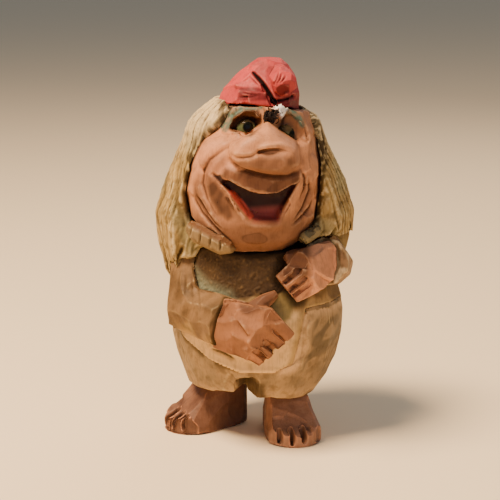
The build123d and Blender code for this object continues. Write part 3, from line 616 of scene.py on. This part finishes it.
# Hands: a birch block each, dowelled at the wrist, with a few broad knife facets and fingers parted by cuts.
# The right one lies on the belly, its thumb painted in brown shade, and the left one on the chest, its upper
# fingers painted in brown shade.
# Salmon paint: satin, each facet a little lighter or browner as the brush left it, and the broad facets
# painted lighter or browner for the light and shade on them
hand_paint = painted_wood(
    "salmon_paint", "#eaa477", "#7c5640", "#4a2e1f", "#e2b78f",
    layers=(("tan", "#8a562c"), ("shaded", "#523220")), roughness=0.56, wear=0.4, grime=0.2, facet=0.8,
)
THUMB = ((-3, 63.5), (3, 66), (9.1, 69.2))
HAND_TONES = {"right_hand": (0.6, 1.0), "left_hand": (0.0, 0.2)}  # lightest and brownest facet; the left hand is kept lighter against the shade that falls on it
FACETS = {  # how brown each broad facet is painted for the light and shade on it, and its outline
    "right_hand": (
        (0.75, ((-7.8, 61.4), (-2.8, 63.2), (3.6, 55.4), (-0.4, 54))),
        (0.8, ((-10.3, 58.4), (-6.5, 61.4), (-0.4, 54), (-4.7, 50.1), (-8.8, 53.6))),
        (0.95, ((-9.5, 53), (-4.7, 50.1), (-1.5, 46.5), (-3, 40), (-9, 43))),
        (0.75, ((-0.4, 54), (3.6, 55.4), (6, 50), (1.5, 46), (-4, 49.5))),
    ),
    "left_hand": (
        (0.25, ((22.7, 81.3), (29.3, 84.3), (36.4, 81.3), (38.3, 75.4), (33, 69), (25.2, 76.3))),
        (0.05, ((14, 80.5), (22.7, 81.3), (25.2, 76.3), (22, 73), (15, 75))),
        (0.25, ((22, 73), (25.2, 76.3), (33, 69), (29, 65.5))),
    ),
}
FINGER_ROOTS = {  # where the cuts between the fingers are made shallower
    "right_hand": ((7.4, 57.2), (11.4, 52.9), (-0.6, 41.7), (-4.6, 46)),
    "left_hand": ((14.5, 82), (12, 78.5), (22, 63), (27.5, 66.5)),
}
for seed, node in enumerate(FACETS):
    hand = Carving(node, voxel=0.32)
    hand.soften(8)
    hand.whittle(spacing=5.5, sink=0.4, tilt=7, seed=61 + seed)
    light, brown = HAND_TONES[node]
    hand.tone = light + (brown - light) * hand.tone
    for tone, outline in FACETS[node]:
        hand.pare(outline, tone)
    hand.fill(FINGER_ROOTS[node], limit=1.2, bottom=7.2)
    hand.soften(2, share=0.5)
    if node == "right_hand":
        hand.mask("tan", np.full(len(hand.points), 0.5))
        # Painted shade on the thumb
        hand.mask("shaded", 0.8 * step(hand.trace(THUMB, width=5, taper=False), 0.1, 0.5))
    else:
        side, _, height = hand.points.T
        upper = 0.45 + 0.55 * step(height, 70, 76)
        # Painted shade on the upper fingers, under the chin
        hand.mask("shaded", 0.92 * upper * (1 - step(side, 20.5, 25)))
    hand.finish(hand_paint, "skin_paint")

# Collar: two rolls of a fur collar beside the chin, glued on the tunic. Gouge cuts part the fur,
# and its upper edge is roughened.
# Pale stain: nearly matt, with brown left in the cuts
collar_stain = painted_wood(
    "pale_fur_stain", "#9a8058", "#77603f", "#38250f", "#dcc498",
    layers=(("fringe", "#633716"), ("shaded", "#7b7150")), roughness=0.62, wear=0.6,
)
FUR_CUTS = (
    ((-26.1, 93.8), (-27.1, 88.7)), ((-22.2, 92.2), (-22.9, 86.0)), ((-18.1, 90.8), (-18.7, 85.4)),
    ((-14, 89), (-14.2, 84.5)),
)
COLLAR_TRIM = 1.0  # how much the left roll is cut back all round, in mm
right_collar = Carving("right_collar", voxel=0.3)
right_collar.soften(10)
right_collar.gouge(FUR_CUTS, width=0.8, depth=0.7, dark_wash_and_shade=0.8)
fringe = step(right_collar.points @ (0.42, 0, 1), 81, 83.5)
right_collar.stipple(spacing=0.6, depth=0.5, seed=65, where=fringe)
right_collar.mask("fringe", 0.85 * fringe)
right_collar.finish(collar_stain, "sleeve_stain")
left_collar = Carving("left_collar", voxel=0.25)
left_collar.push(np.full(len(left_collar.points), COLLAR_TRIM))
left_collar.soften(4)
left_collar.whittle(spacing=3.2, sink=0.3, tilt=9, seed=66)
left_collar.mask("shaded", np.full(len(left_collar.points), 0.8))
left_collar.finish(collar_stain, "sleeve_stain")

# Head: the laughing face, cut in one birch block and dowelled on the neck. Smile and jaw lines are knife
# cuts, cheeks and nose are rounded, the mouth is painted dark red, and brows and sockets are tinted.
# Salmon paint: satin, with shade painted brown under the nose, on the lip band, the lower cheeks, the jaw and
# the chin, with tinted brows and a chip of white ground
face_paint = painted_wood(
    "face_paint", "#cf9065", "#b07850", "#33180d", "#e2b78f",
    layers=(
        ("blush", "#d9936c"), ("brown", "#40261a"), ("band", "#553420"), ("knot", "#4d2d1c"),
        ("socket", "#59371f"), ("brow", "#56695a"), ("flake", "#fffaf0"), ("mouth", "#280c0d"),
        ("wet_lip", "#964640"), ("pink_lip", "#c75240"),
    ),
    roughness=0.5, wear=0.35, grime=0.18,
)
NOSE_EDGE = (
    (5, 138), (-2, 133), (-11, 128), (-11, 123), (-6, 119), (4, 115.5), (14, 115), (19, 120), (18, 130),
    (10, 135),
)
WING_EDGE = ((-10, 125.2), (-8.3, 124.6), (-5.2, 124.6), (-1.5, 125.2), (2.2, 127.2))
NOSE_RIDGE = ((0.6, 128.2), (5, 129.5), (10, 129.6), (14, 128.4))
NOTCH = ((0.8, 126.6), (5.3, 127.8), (9.6, 127.8), (14.5, 126.6))
NOTCH_END = ((9, 129), (16.5, 129), (16.5, 125), (9, 125))
NOSE_FOOT = (
    (-10.5, 123), (-9.5, 121.2), (-6.3, 119.8), (-2, 118), (2.8, 116.7), (7.6, 115.8), (13.6, 115.7),
    (17.4, 117), (19.3, 119.3),
)
SMILE = (
    (-8.5, 128.7), (-13.9, 125), (-18.2, 121.5), (-20.7, 116.9), (-21.3, 111.3), (-19.4, 105.3),
    (-16.1, 100.1), (-13.4, 97),
)
OUTER_SMILE = ((-22.8, 114.7), (-25, 110), (-24.5, 105.3), (-19.5, 96.7), (-14.5, 91.7))
JAW_CUTS = (
    ((-25.6, 106.2), (-21.7, 99.1), (-16.7, 94.4), (-10.7, 89.2)),
    ((-24.2, 106.5), (-19.4, 99), (-14.5, 94)),
    ((-21.7, 101.9), (-16.7, 96.1), (-13.4, 93.5)),
    ((18.5, 118.6), (20.4, 114.1), (20.3, 109.1), (18.1, 104.6)),
    ((21.8, 114.5), (22.6, 108.1), (19.8, 101.5), (15.4, 96.1)),
    ((24.4, 105), (22.7, 100.8), (18.7, 97.2), (14.8, 95)),
)
MOUTH_CORNER = ((-17.5, 116.5), (-14, 113))
MOUTH_EDGE = (
    (-17, 115.2), (-10.6, 109.4), (-5.2, 102.6), (-1.5, 98.3), (0.2, 97.3), (9.3, 97.5), (11.2, 102.1),
    (17.8, 113), (8.7, 110.5), (1.2, 111), (-3.1, 112.5), (-10.6, 117),
)
WET_LIP = ((-1.5, 101.6), (11, 102.6), (9.6, 97), (-0.6, 97))
PINK_LIP = ((-11, 109.6), (-8.4, 108.6), (-4.2, 103.8), (-0.4, 98.6), (-2, 97.8), (-6, 102.6))
LIP_BAND = ((-12, 119), (-14, 115.5), (-3.1, 110.5), (8.7, 108.8), (18, 113), (18.5, 118), (4, 117))
SOCKETS = (
    (
        (-11.8, 133.4), (-9.1, 139.1), (-4.2, 141.8), (0.7, 142), (2.9, 139), (2.3, 135.3), (-1.5, 132.6),
        (-8, 132),
    ),
    (
        (8, 136), (11, 139.3), (15.4, 140.4), (19.3, 137.4), (22, 132.2), (22.2, 127.7), (18.1, 127.1),
        (9.7, 131.5),
    ),
)
BROWS = (
    ((-12.4, 133.8), (-9.8, 139.6), (-4.6, 142.6), (1.5, 142.8)),
    ((10.5, 140.6), (12.5, 140.6), (15.4, 139.6), (18.6, 136.4), (19.8, 133)),
)
FLAKE = (
    (5.6, 142.2), (8, 143.4), (12, 143.2), (13.6, 141.2), (12.6, 140.4), (12, 139), (10.6, 137.2),
    (9.6, 139.6), (8.4, 141),
)
CHIN = ((-9, 99), (15, 99.5), (19, 92), (14, 87), (-8, 87), (-12, 92))
CHEEK = ((-27, 128), (-9, 131), (-10, 117), (-13, 112), (-26, 108))
LOW_CHEEK = (
    (-19.5, 116), (-15.5, 113.5), (-11, 108), (-9.2, 103.5), (-7.8, 98.5), (-11, 96), (-15, 99.6),
    (-18.4, 105), (-20.4, 110.8),
)
SHADES = (  # painted shade: how brown the face is in some outlines, on the cheeks beside the nose and mouth, under the nose and on the jaw
    (0.93, LOW_CHEEK),
    (0.6, (
        (-22.8, 114.7), (-21.3, 111.3), (-19.4, 105.3), (-16.1, 100.1), (-13.4, 97), (-10.7, 89.2),
        (-14.5, 91.7), (-19.5, 96.7), (-24.5, 105.3), (-25, 110),
    )),
    (0.65, ((-12, 108.5), (-9.5, 106), (-5, 100.5), (-3, 96.5), (-9, 94), (-12, 97))),
    (0.68, (
        (-9, 122.5), (0, 124.5), (5.3, 126.5), (14.5, 125.5), (18.5, 120), (13.6, 115), (2.8, 116),
        (-6.3, 119),
    )),
    (0.55, ((18, 114), (20, 109), (18, 103), (13, 96), (16, 95), (22, 101), (24, 108), (22, 115))),
    (0.5, ((-21.5, 120), (-17, 122.5), (-12, 124), (-11, 120), (-14, 117), (-19, 114))),
)
LEFT_RIM = (
    (15, 141.5), (24, 139), (26, 124), (19, 121.5), (15.8, 124.5), (17, 127.6), (18.8, 131.5), (17.5, 136),
)
LID = ((-9.6, 137.4), (-8.6, 139.4), (-4.2, 141.6), (0.5, 141.7), (2.6, 139), (0.8, 137.6), (-4, 138.6))
LID_REACH = 2.6  # how far the right lid stands forward over the eye, in mm
LOWER_RIM = ((-11.5, 131.8), (-8, 130.8), (-4, 130.4), (0, 131.2), (2.5, 133))
RIM_LIFT = (0, -1.2, 2.6)  # how the lower lid swells up and forward
KNOT_CENTRE = (-0.1, 90)
KNOT_RADII = (4.4, 2.2)
BLUSH_CENTRE = (-17, 118)
BLUSH_RADII = (8, 7)
head = Carving("head", voxel=0.46)
side, back, height = head.points.T
head.soften(4)
nose = head.inside(NOSE_EDGE, soft=2)
head.soften(16, where=nose)
head.swell(centre=(-6.3, 127), radii=(4.5, 2.6), height=1.3)
head.swell(centre=(11, 121), radii=(7, 5), height=0.2)
cheek = head.inside(CHEEK, soft=3)
head.soften(20, where=cheek)
chin = head.inside(CHIN, soft=4)
head.soften(30, where=chin)
head.move(head.trace(LOWER_RIM, width=3.2) * (back < -18), RIM_LIFT)
head.soften(24, where=step(head.trace(LOWER_RIM, width=4.5, taper=False), 0, 0.5))
head.soften(40, where=head.inside(LEFT_RIM, soft=1.5))
lid = head.spread(head.inside(LID, soft=0.5) * (back < -8), 2)
head.move(lid, (0, -LID_REACH, 0))
band = head.inside(LIP_BAND, soft=1)
faceted = (1 - nose) * (1 - cheek) * (1 - chin) * (1 - band)
head.whittle(spacing=7.5, sink=0.35, tilt=4, seed=71, where=faceted)
head.pare(LOW_CHEEK, tone=0.6, sink=0.3, soft=0.8)
head.soften(1, share=0.4)
head.gouge([SMILE], width=2.6, depth=1.2, hollow=True)
head.gouge([SMILE], width=1.0, depth=0.5, dark_wash_and_shade=0.6)
head.gouge([OUTER_SMILE], width=1.8, depth=0.9, dark_wash_and_shade=0.6)
head.gouge(JAW_CUTS, width=1.1, depth=0.9, dark_wash_and_shade=0.95)
head.gouge([WING_EDGE], width=1.4, depth=1.0, dark_wash_and_shade=0.25)
head.gouge([NOSE_RIDGE], width=1.3, depth=-0.7)
head.gouge([NOTCH], width=0.9, depth=0.8, dark_wash_and_shade=1.0)
head.soften(24, where=head.inside(NOTCH_END, soft=1.5))
head.gouge([NOSE_FOOT], width=1.5, depth=0.9, dark_wash_and_shade=0.5)
head.gouge([MOUTH_CORNER], width=1.3, depth=1.2, dark_wash_and_shade=0.9)
head.gouge(BROWS, width=1.4, depth=-0.6, hollow=True)
flake = head.inside(FLAKE, soft=0.35)
head.push((0.35 * wander(head.points, size=1.6, seed=73) - 0.9) * flake)
head.stipple(spacing=0.5, depth=0.35, seed=72, where=flake)
mouth = head.inside(MOUTH_EDGE, soft=0.4) * step(back, -28.9, -28.2)
right_brow = head.trace(BROWS[0], width=2.2, taper=False)
left_brow = head.trace(BROWS[1], width=1.8)
brow = step(np.maximum(right_brow, 0.8 * left_brow), 0, 0.4)
brow *= 0.6 + 0.4 * step(wander(head.points, size=2.5, seed=74), -0.6, 0.6)
# A dark crease arches over the bulb of the nose
crease = np.abs(height - 127.6 + 0.03 * (side - 7.5) ** 2)
crease = (1 - step(crease, 0.3, 0.9)) * step(side, 0.5, 2.5) * (1 - step(side, 8, 13)) * (back < -25)
head.darken(crease)
head.sharp = np.maximum(mouth, np.maximum(brow, flake))
# Painted shade along the edges of the hair locks and the cap
for node, reach in (("right_lock", 1.8), ("left_lock", 1.8), ("cap", 1.0)):
    head.darken(0.9 * head.beside(node, reach) * (1 - flake))
head.mask("mouth", mouth)
head.mask("wet_lip", 0.85 * head.inside(WET_LIP, soft=1.5))
head.mask("pink_lip", head.inside(PINK_LIP, soft=0.4))
mottled = 0.84 + 0.16 * step(wander(head.points, size=5, seed=76), -0.6, 0.6)
# The lip band is painted dark brown for the shade under the nose
head.mask("band", 0.9 * band * mottled)
# Painted shade, browner towards the chin and in the outlines above
brown = 0.66 * step(-height, -103, -94) * (back < 0)
for share, outline in SHADES:
    brown = np.maximum(brown, share * head.inside(outline, soft=2.2) * mottled)
head.mask("brown", brown)
# A knot on the chin, as two rings
drawn, _ = head.seen()
oval = np.linalg.norm((drawn - KNOT_CENTRE) / KNOT_RADII, axis=1)
oval += 0.12 * wander(head.points, size=5, seed=75)
ring = np.maximum(np.exp(-(((oval - 1) / 0.16) ** 2)), 0.55 * np.exp(-(((oval - 0.5) / 0.14) ** 2)))
head.mask("knot", np.maximum(0.7 * ring, 0.45 * (1 - step(oval, 0.8, 1.1))) * (back < 0))
head.mask("socket", np.maximum(head.inside(SOCKETS[0], soft=0.6), 0.5 * head.inside(SOCKETS[1], soft=1.5)))
head.mask("brow", brow)
head.mask("flake", flake)
blush = np.exp(-np.sum(((drawn - BLUSH_CENTRE) / BLUSH_RADII) ** 2, axis=1))
head.mask("blush", 0.7 * blush * (back < 0))
head.finish(face_paint, "skin_paint")

# Eyes: carved beads, glued in the sockets and enamelled green, with a black pupil that looks to the side.
# They are pared flatter in front, and the upper lid's shade is painted brown on their upper half.
# Enamel: smooth, and glossier than the paint round it
eye_enamel = painted_wood(
    "green_enamel", "#6a714c", "#4d5436", "#3a421f", "#a4aa7c",
    layers=(("lid", "#3f2b1c"), ("pupil", "#0a0a08")),
    roughness=0.2, shine=0.12, wear=0.1, soak=0.3, grime=0.1,
)
PUPILS = {"right_eye": (-2.8, 134.2), "left_eye": (15.8, 130.9)}
PUPIL_RADIUS = 2.2
EYE_FLAT = 0.2  # share of the bead's depth that is pared off in front
for node, pupil in PUPILS.items():
    eye = Carving(node, voxel=0.2)
    eye.soften(10)
    eye.points[:, 1] += EYE_FLAT * (eye.points[:, 1].max() - eye.points[:, 1])
    eye.look()
    flat, facing = eye.seen()
    gap = np.linalg.norm(flat - pupil, axis=1)
    # Painted shade of the upper lid
    eye.mask("lid", 0.9 * step(flat[:, 1] - pupil[1], 0.0, 2.0))
    eye.mask("pupil", (1 - step(gap, PUPIL_RADIUS - 0.3, PUPIL_RADIUS + 0.2)) * (facing > 0))
    eye.finish(eye_enamel, "eye_enamel")

# Hair: a mane of birch in a back panel and two side locks, glued round the head and gouged in strands.
# The ends are notched between the strands, and the locks swell beside the cap.
# Straw stain: satin on the strands, with dark wash between them and an olive cast in places, painted lighter
# on the upper hair where light falls, and with shade painted along the face
hair_stain = painted_wood(
    "straw_stain", "#bf9f60", "#8a6e3c", "#33230d", "#dfc997",
    layers=(("olive", "#9c9468"), ("lit_top", "#ecd2a0")), roughness=0.55, soak=1.0, grime=0.55,
)
STRANDS = {  # spacing and depth of the gouge cuts, in mm
    "hair_back": (6.0, 1.1),
    "right_lock": (6.5, 1.1),
    "left_lock": (3.2, 0.8),
}
CROWN_SWELL = 2.0  # how far the hair stands out beside the cap, in mm
CROWN_HEIGHT = 134
CROWN_SPAN = 7
FRONT_SWELL = 2.0  # how far the locks' front faces stand out
FRAY = 5.0  # how deep the notches at the ends are
LOCK_TOP = 137.0  # above this height the left lock is flattened under the cap
TEMPLE_SHIFT = (-2.0, -1.5, 0)  # how the left lock comes forward at the temple
HAIR_RADIUS = 38  # about how far the hair lies from the body's axis
SWAY = 1.6  # how far the strands swing to each side
SWAY_PITCH = 13  # the height of one radian of that swing
LOBE_CUTS = (
    ((-30.5, 116), (-32.6, 109.8), (-34.3, 98.8), (-37, 91.9)),
    ((-29.5, 84), (-34.4, 74)),
)
for seed, (node, (spacing, depth)) in enumerate(STRANDS.items()):
    hair = Carving(node, voxel=0.5)
    hair.soften(6)
    side, back, height = hair.points.T
    crown = np.exp(-(((height - CROWN_HEIGHT) / CROWN_SPAN) ** 2)) * (np.abs(side) > 10)
    hair.push(-CROWN_SWELL * crown)
    if node == "left_lock":
        temple = step(height, 119, 126) * (1 - step(height, 138, 142)) * (1 - step(side, 22, 27))
        hair.move(temple, TEMPLE_SHIFT)
        hair.points[:, 2] -= 0.5 * np.maximum(hair.points[:, 2] - LOCK_TOP, 0)
        hair.look()
    front = hair.spread((hair.normals @ FRONT > 0.8) * (back < 0) * 1.0, 10)
    hair.push(-FRONT_SWELL * front**2)
    wave = SWAY * np.sin(height / SWAY_PITCH + seed)
    flow = hair.around(HAIR_RADIUS) + wave + 1.2 * wander(hair.points, size=16, seed=80 + seed)
    hair.fray(flow, spacing / 1.5, FRAY, seed=83 + seed)
    if node == "right_lock":
        hair.gouge(LOBE_CUTS, width=2.2, depth=1.4, dark_wash_and_shade=0.6)
    hair.comb(flow, spacing, depth, seed=86 + seed, dark_wash_and_shade=0.8)
    finer = flow + 0.4 * wander(hair.points, size=6, seed=89 + seed)
    hair.comb(finer, spacing / 3.7, depth / 3.5, seed=92 + seed, dark_wash_and_shade=0.5)
    hair.push(0.1 * wander(hair.points * (1, 1, 0.2), size=1.3, seed=98 + seed))
    if node != "hair_back":
        # Painted shade along the edge beside the face
        edge = hair.beside("head", reach=3.8) * step(wander(hair.points, size=3, seed=102 + seed), -0.9, 0.3)
        hair.darken(0.9 * edge)
    hair.mask("olive", 0.6 * step(wander(hair.points, size=15, seed=95 + seed), 0.1, 1.0))
    # Painted light on the upper hair
    hair.mask("lit_top", 0.65 * step(height, 116, 134))
    hair.finish(hair_stain, "hair_stain")

# Cap: a red cap of birch, dowelled on the head and whittled in flat facets, with a deep cleft where the peak
# is folded over to the front. The peak is a block of its own, dowelled on.
# Red paint: satin, rubbed to pink wood along the facet edges, with painted shade in the scoop, under the tip
# and on its end, and facets painted lighter or darker for the light on them
cap_paint = painted_wood(
    "red_paint", "#cb4b4a", "#842b2f", "#1c0405", "#d98472",
    layers=(("cap_shade", "#641c20"),), roughness=0.54, wear=0.4, soak=1.0, grime=0.16, facet=0.7,
)
CAP_FACETS = (  # tone, painted lighter or darker for the light and shade on the facet, how far it is sunk in mm, and outline
    (0.1, 0.0, ((-15, 146.5), (-9.2, 148.9), (-0.9, 154.5), (2, 158), (-6, 156), (-13, 150))),
    (0.35, 0.2, ((-16, 143), (-15, 146.5), (-9.2, 148.9), (-6.4, 149.2), (-7.5, 143.5))),
    (0.45, 0.1, ((-9.2, 148.9), (-0.9, 154.5), (3.2, 151.1), (1.8, 149.8), (-6.4, 149.2))),
    (0.95, 0.9, ((-6.4, 149.2), (1.8, 149.8), (5.7, 145.8), (5.1, 144.5), (-7.5, 144.5))),
)
CLEFT = ((-1.4, 155.6), (3.2, 151.1), (6.4, 146.4), (9.6, 140.4))
CLEFT_CUT = (0, 2.4, -0.3)  # how far the cleft goes in, in mm
NICKS = (((-2.3, 153.7), (2.4, 149.8)), ((-5.8, 147.6), (2.3, 146.3)), ((-7.8, 145.4), (1.3, 146.1)))
SCOOP = ((-6.2, 149), (1.6, 149.6), (5.2, 145.9), (4.6, 144.4), (-7, 144.4))
UNDER_TIP = ((7.4, 143.8), (11.4, 144.3), (15.8, 145.2))
BELOW_TIP = ((7.6, 144.4), (11.4, 145), (15.8, 146), (16.6, 142.4), (8.6, 141.6))
TIP_END = ((8.6, 149.6), (10.5, 151.4), (13.7, 151), (14, 148), (11, 146.2), (8.8, 147.4))
FOLDS = (((9.4, 156), (7.5, 150.6)), ((11, 155.4), (8.8, 151.3)), ((12.6, 154.6), (9.9, 151.6)))
cap = Carving("cap", voxel=0.36)
cap.soften(2)
cap.whittle(spacing=7.5, sink=0.5, tilt=5, seed=91)
for tone, sink, outline in CAP_FACETS:
    cap.pare(outline, tone, sink)
cap.soften(1, share=0.4)
cap.soften(10, where=cap.trace(CLEFT, width=4.5, taper=False))
cleft = cap.trace(CLEFT, width=1.25)
cap.move(step(cleft, 0, 0.9), CLEFT_CUT)
cap.darken(step(cleft, 0, 0.5))
scoop = cap.inside(SCOOP, soft=0.5)
cap.soften(12, where=scoop)
# The cut under the tip is left dark, as the tip's painted shadow
cap.gouge([UNDER_TIP], width=1.4, depth=1.2, taper=False, dark_wash_and_shade=1.0)
cap.gouge(NICKS, width=0.6, depth=0.35, dark_wash_and_shade=0.6)
# Painted shade in the scoop and under the tip
cap.mask("cap_shade", np.maximum(0.8 * scoop, 0.75 * cap.inside(BELOW_TIP, soft=0.8)))
cap.finish(cap_paint, "cap_paint")
cap_tip = Carving("cap_tip", voxel=0.3)
cap_tip.soften(2)
cap_tip.whittle(spacing=4.2, sink=0.4, tilt=9, seed=96)
# The tip's end is pared and painted in shade
cap_tip.pare(TIP_END, tone=1.0, sink=0.3)
cap_tip.mask("cap_shade", 0.9 * cap_tip.inside(TIP_END, soft=0.4))
cap_tip.gouge(FOLDS, width=0.7, depth=0.6, dark_wash_and_shade=0.7)
cap_tip.finish(cap_paint, "cap_paint")

# Tuft: a scrap of dark curly wool, stuck on between the brows. It is a knot of small rings round a core,
# joined in one mesh.
# Wool: black-brown and dull, so that only the curls' outer sides catch light
wool = painted_wood("dark_wool", "#1c1512", "#2a201b", "#080605", "#3a2d26", roughness=0.8)
CURL_RADIUS = 1.0
CURL_THICKNESS = 0.24
CURLS = 60
SEAT = 1.0  # how far the curls are pressed back to the brow
low, high = (np.array(corner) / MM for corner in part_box("brow_tuft"))
chance = np.random.default_rng(97)
curls = []
for _ in range(CURLS):
    heading = chance.normal(size=3)
    heading /= np.linalg.norm(heading)
    spot = (low + high) / 2 + heading * (high - low) / 2 * chance.uniform(0.5, 1.1)
    spot[1] += SEAT
    bpy.ops.mesh.primitive_torus_add(
        major_segments=16,
        minor_segments=6,
        major_radius=CURL_RADIUS * chance.uniform(0.6, 1.1) * MM,
        minor_radius=CURL_THICKNESS * MM,
        location=Vector(spot) * MM,
        rotation=chance.uniform(0, math.pi, 3),
    )
    bpy.ops.object.transform_apply()
    curls.append(bpy.context.object)
tuft = Carving("brow_tuft", voxel=0.15, extra=curls, core=0.6)
tuft.finish(wool, "dark_wool")

# Dowels: plain birch pegs, glued and hidden in the joints between the blocks. They keep their CAD shape,
# because nothing shows them.
# Bare birch: pale and dull, with a fine grain
birch = painted_wood("bare_birch", "#cfae7c", "#c29f6b", "#8a6a3c", "#dfc59a", roughness=0.6, grime=0.05)
DOWELS = (
    "ankle_dowels", "hip_dowels", "arm_dowels", "wrist_dowels", "neck_dowel", "cap_dowel", "tip_dowel",
)
for node in DOWELS:
    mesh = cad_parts[node].data
    mesh.materials.clear()
    mesh.materials.append(birch)

# Studio: a wide pale floor, a warm soft key from the upper left, a weak fill in front, a weak light behind,
# and the camera of the photo. None of it is part of the figure.
FLOOR_SIZE = 40  # in metres
bpy.ops.mesh.primitive_plane_add(size=FLOOR_SIZE)
floor = bpy.context.object
floor.name = "floor"
floor_paper = bpy.data.materials.new("pale_paper")
floor_paper.use_nodes = True
paper = floor_paper.node_tree.nodes["Principled BSDF"].inputs
paper["Base Color"].default_value = linear("#ffe8c0")
paper["Roughness"].default_value = 0.8
floor.data.materials.append(floor_paper)

TARGET = Vector((-2.0, 4.3, 78.2)) * MM
LAMPS = (  # name, place in metres, power in watts, width in metres, colour
    ("key", (-0.42, -0.22, 1.00), 29.0, 0.35, "#ffdfba"),
    ("fill", (0.30, -0.95, 0.30), 1.7, 0.8, "#dde6ff"),
    ("rim", (0.35, 0.70, 0.70), 2.0, 0.6, "#fff0e0"),
)
for name, spot, power, size, tint in LAMPS:
    lamp = bpy.data.lights.new(name, "AREA")
    lamp.energy = power
    lamp.size = size
    lamp.color = linear(tint)[:3]
    holder = bpy.data.objects.new(name, lamp)
    bpy.context.scene.collection.objects.link(holder)
    holder.location = spot
    holder.rotation_euler = (Vector(spot) - TARGET).to_track_quat("Z", "Y").to_euler()
world = bpy.data.worlds.new("soft_room")
world.use_nodes = True
room = world.node_tree.nodes["Background"].inputs
room["Color"].default_value = linear("#bcc6d6")
room["Strength"].default_value = 0.36
bpy.context.scene.world = world

CAMERA_TILT = math.radians(12)
CAMERA_DISTANCE = 0.640  # in metres
SENSOR_WIDTH = 36  # in mm, as the focal length is
FOCAL_LENGTH = 107.6
lens = bpy.data.cameras.new("photo_camera")
lens.sensor_width = SENSOR_WIDTH
lens.lens = FOCAL_LENGTH
camera = bpy.data.objects.new("photo_camera", lens)
bpy.context.scene.collection.objects.link(camera)
camera.location = TARGET + Vector((0, -math.cos(CAMERA_TILT), math.sin(CAMERA_TILT))) * CAMERA_DISTANCE
camera.rotation_euler = (math.radians(90) - CAMERA_TILT, 0, 0)
bpy.context.scene.camera = camera
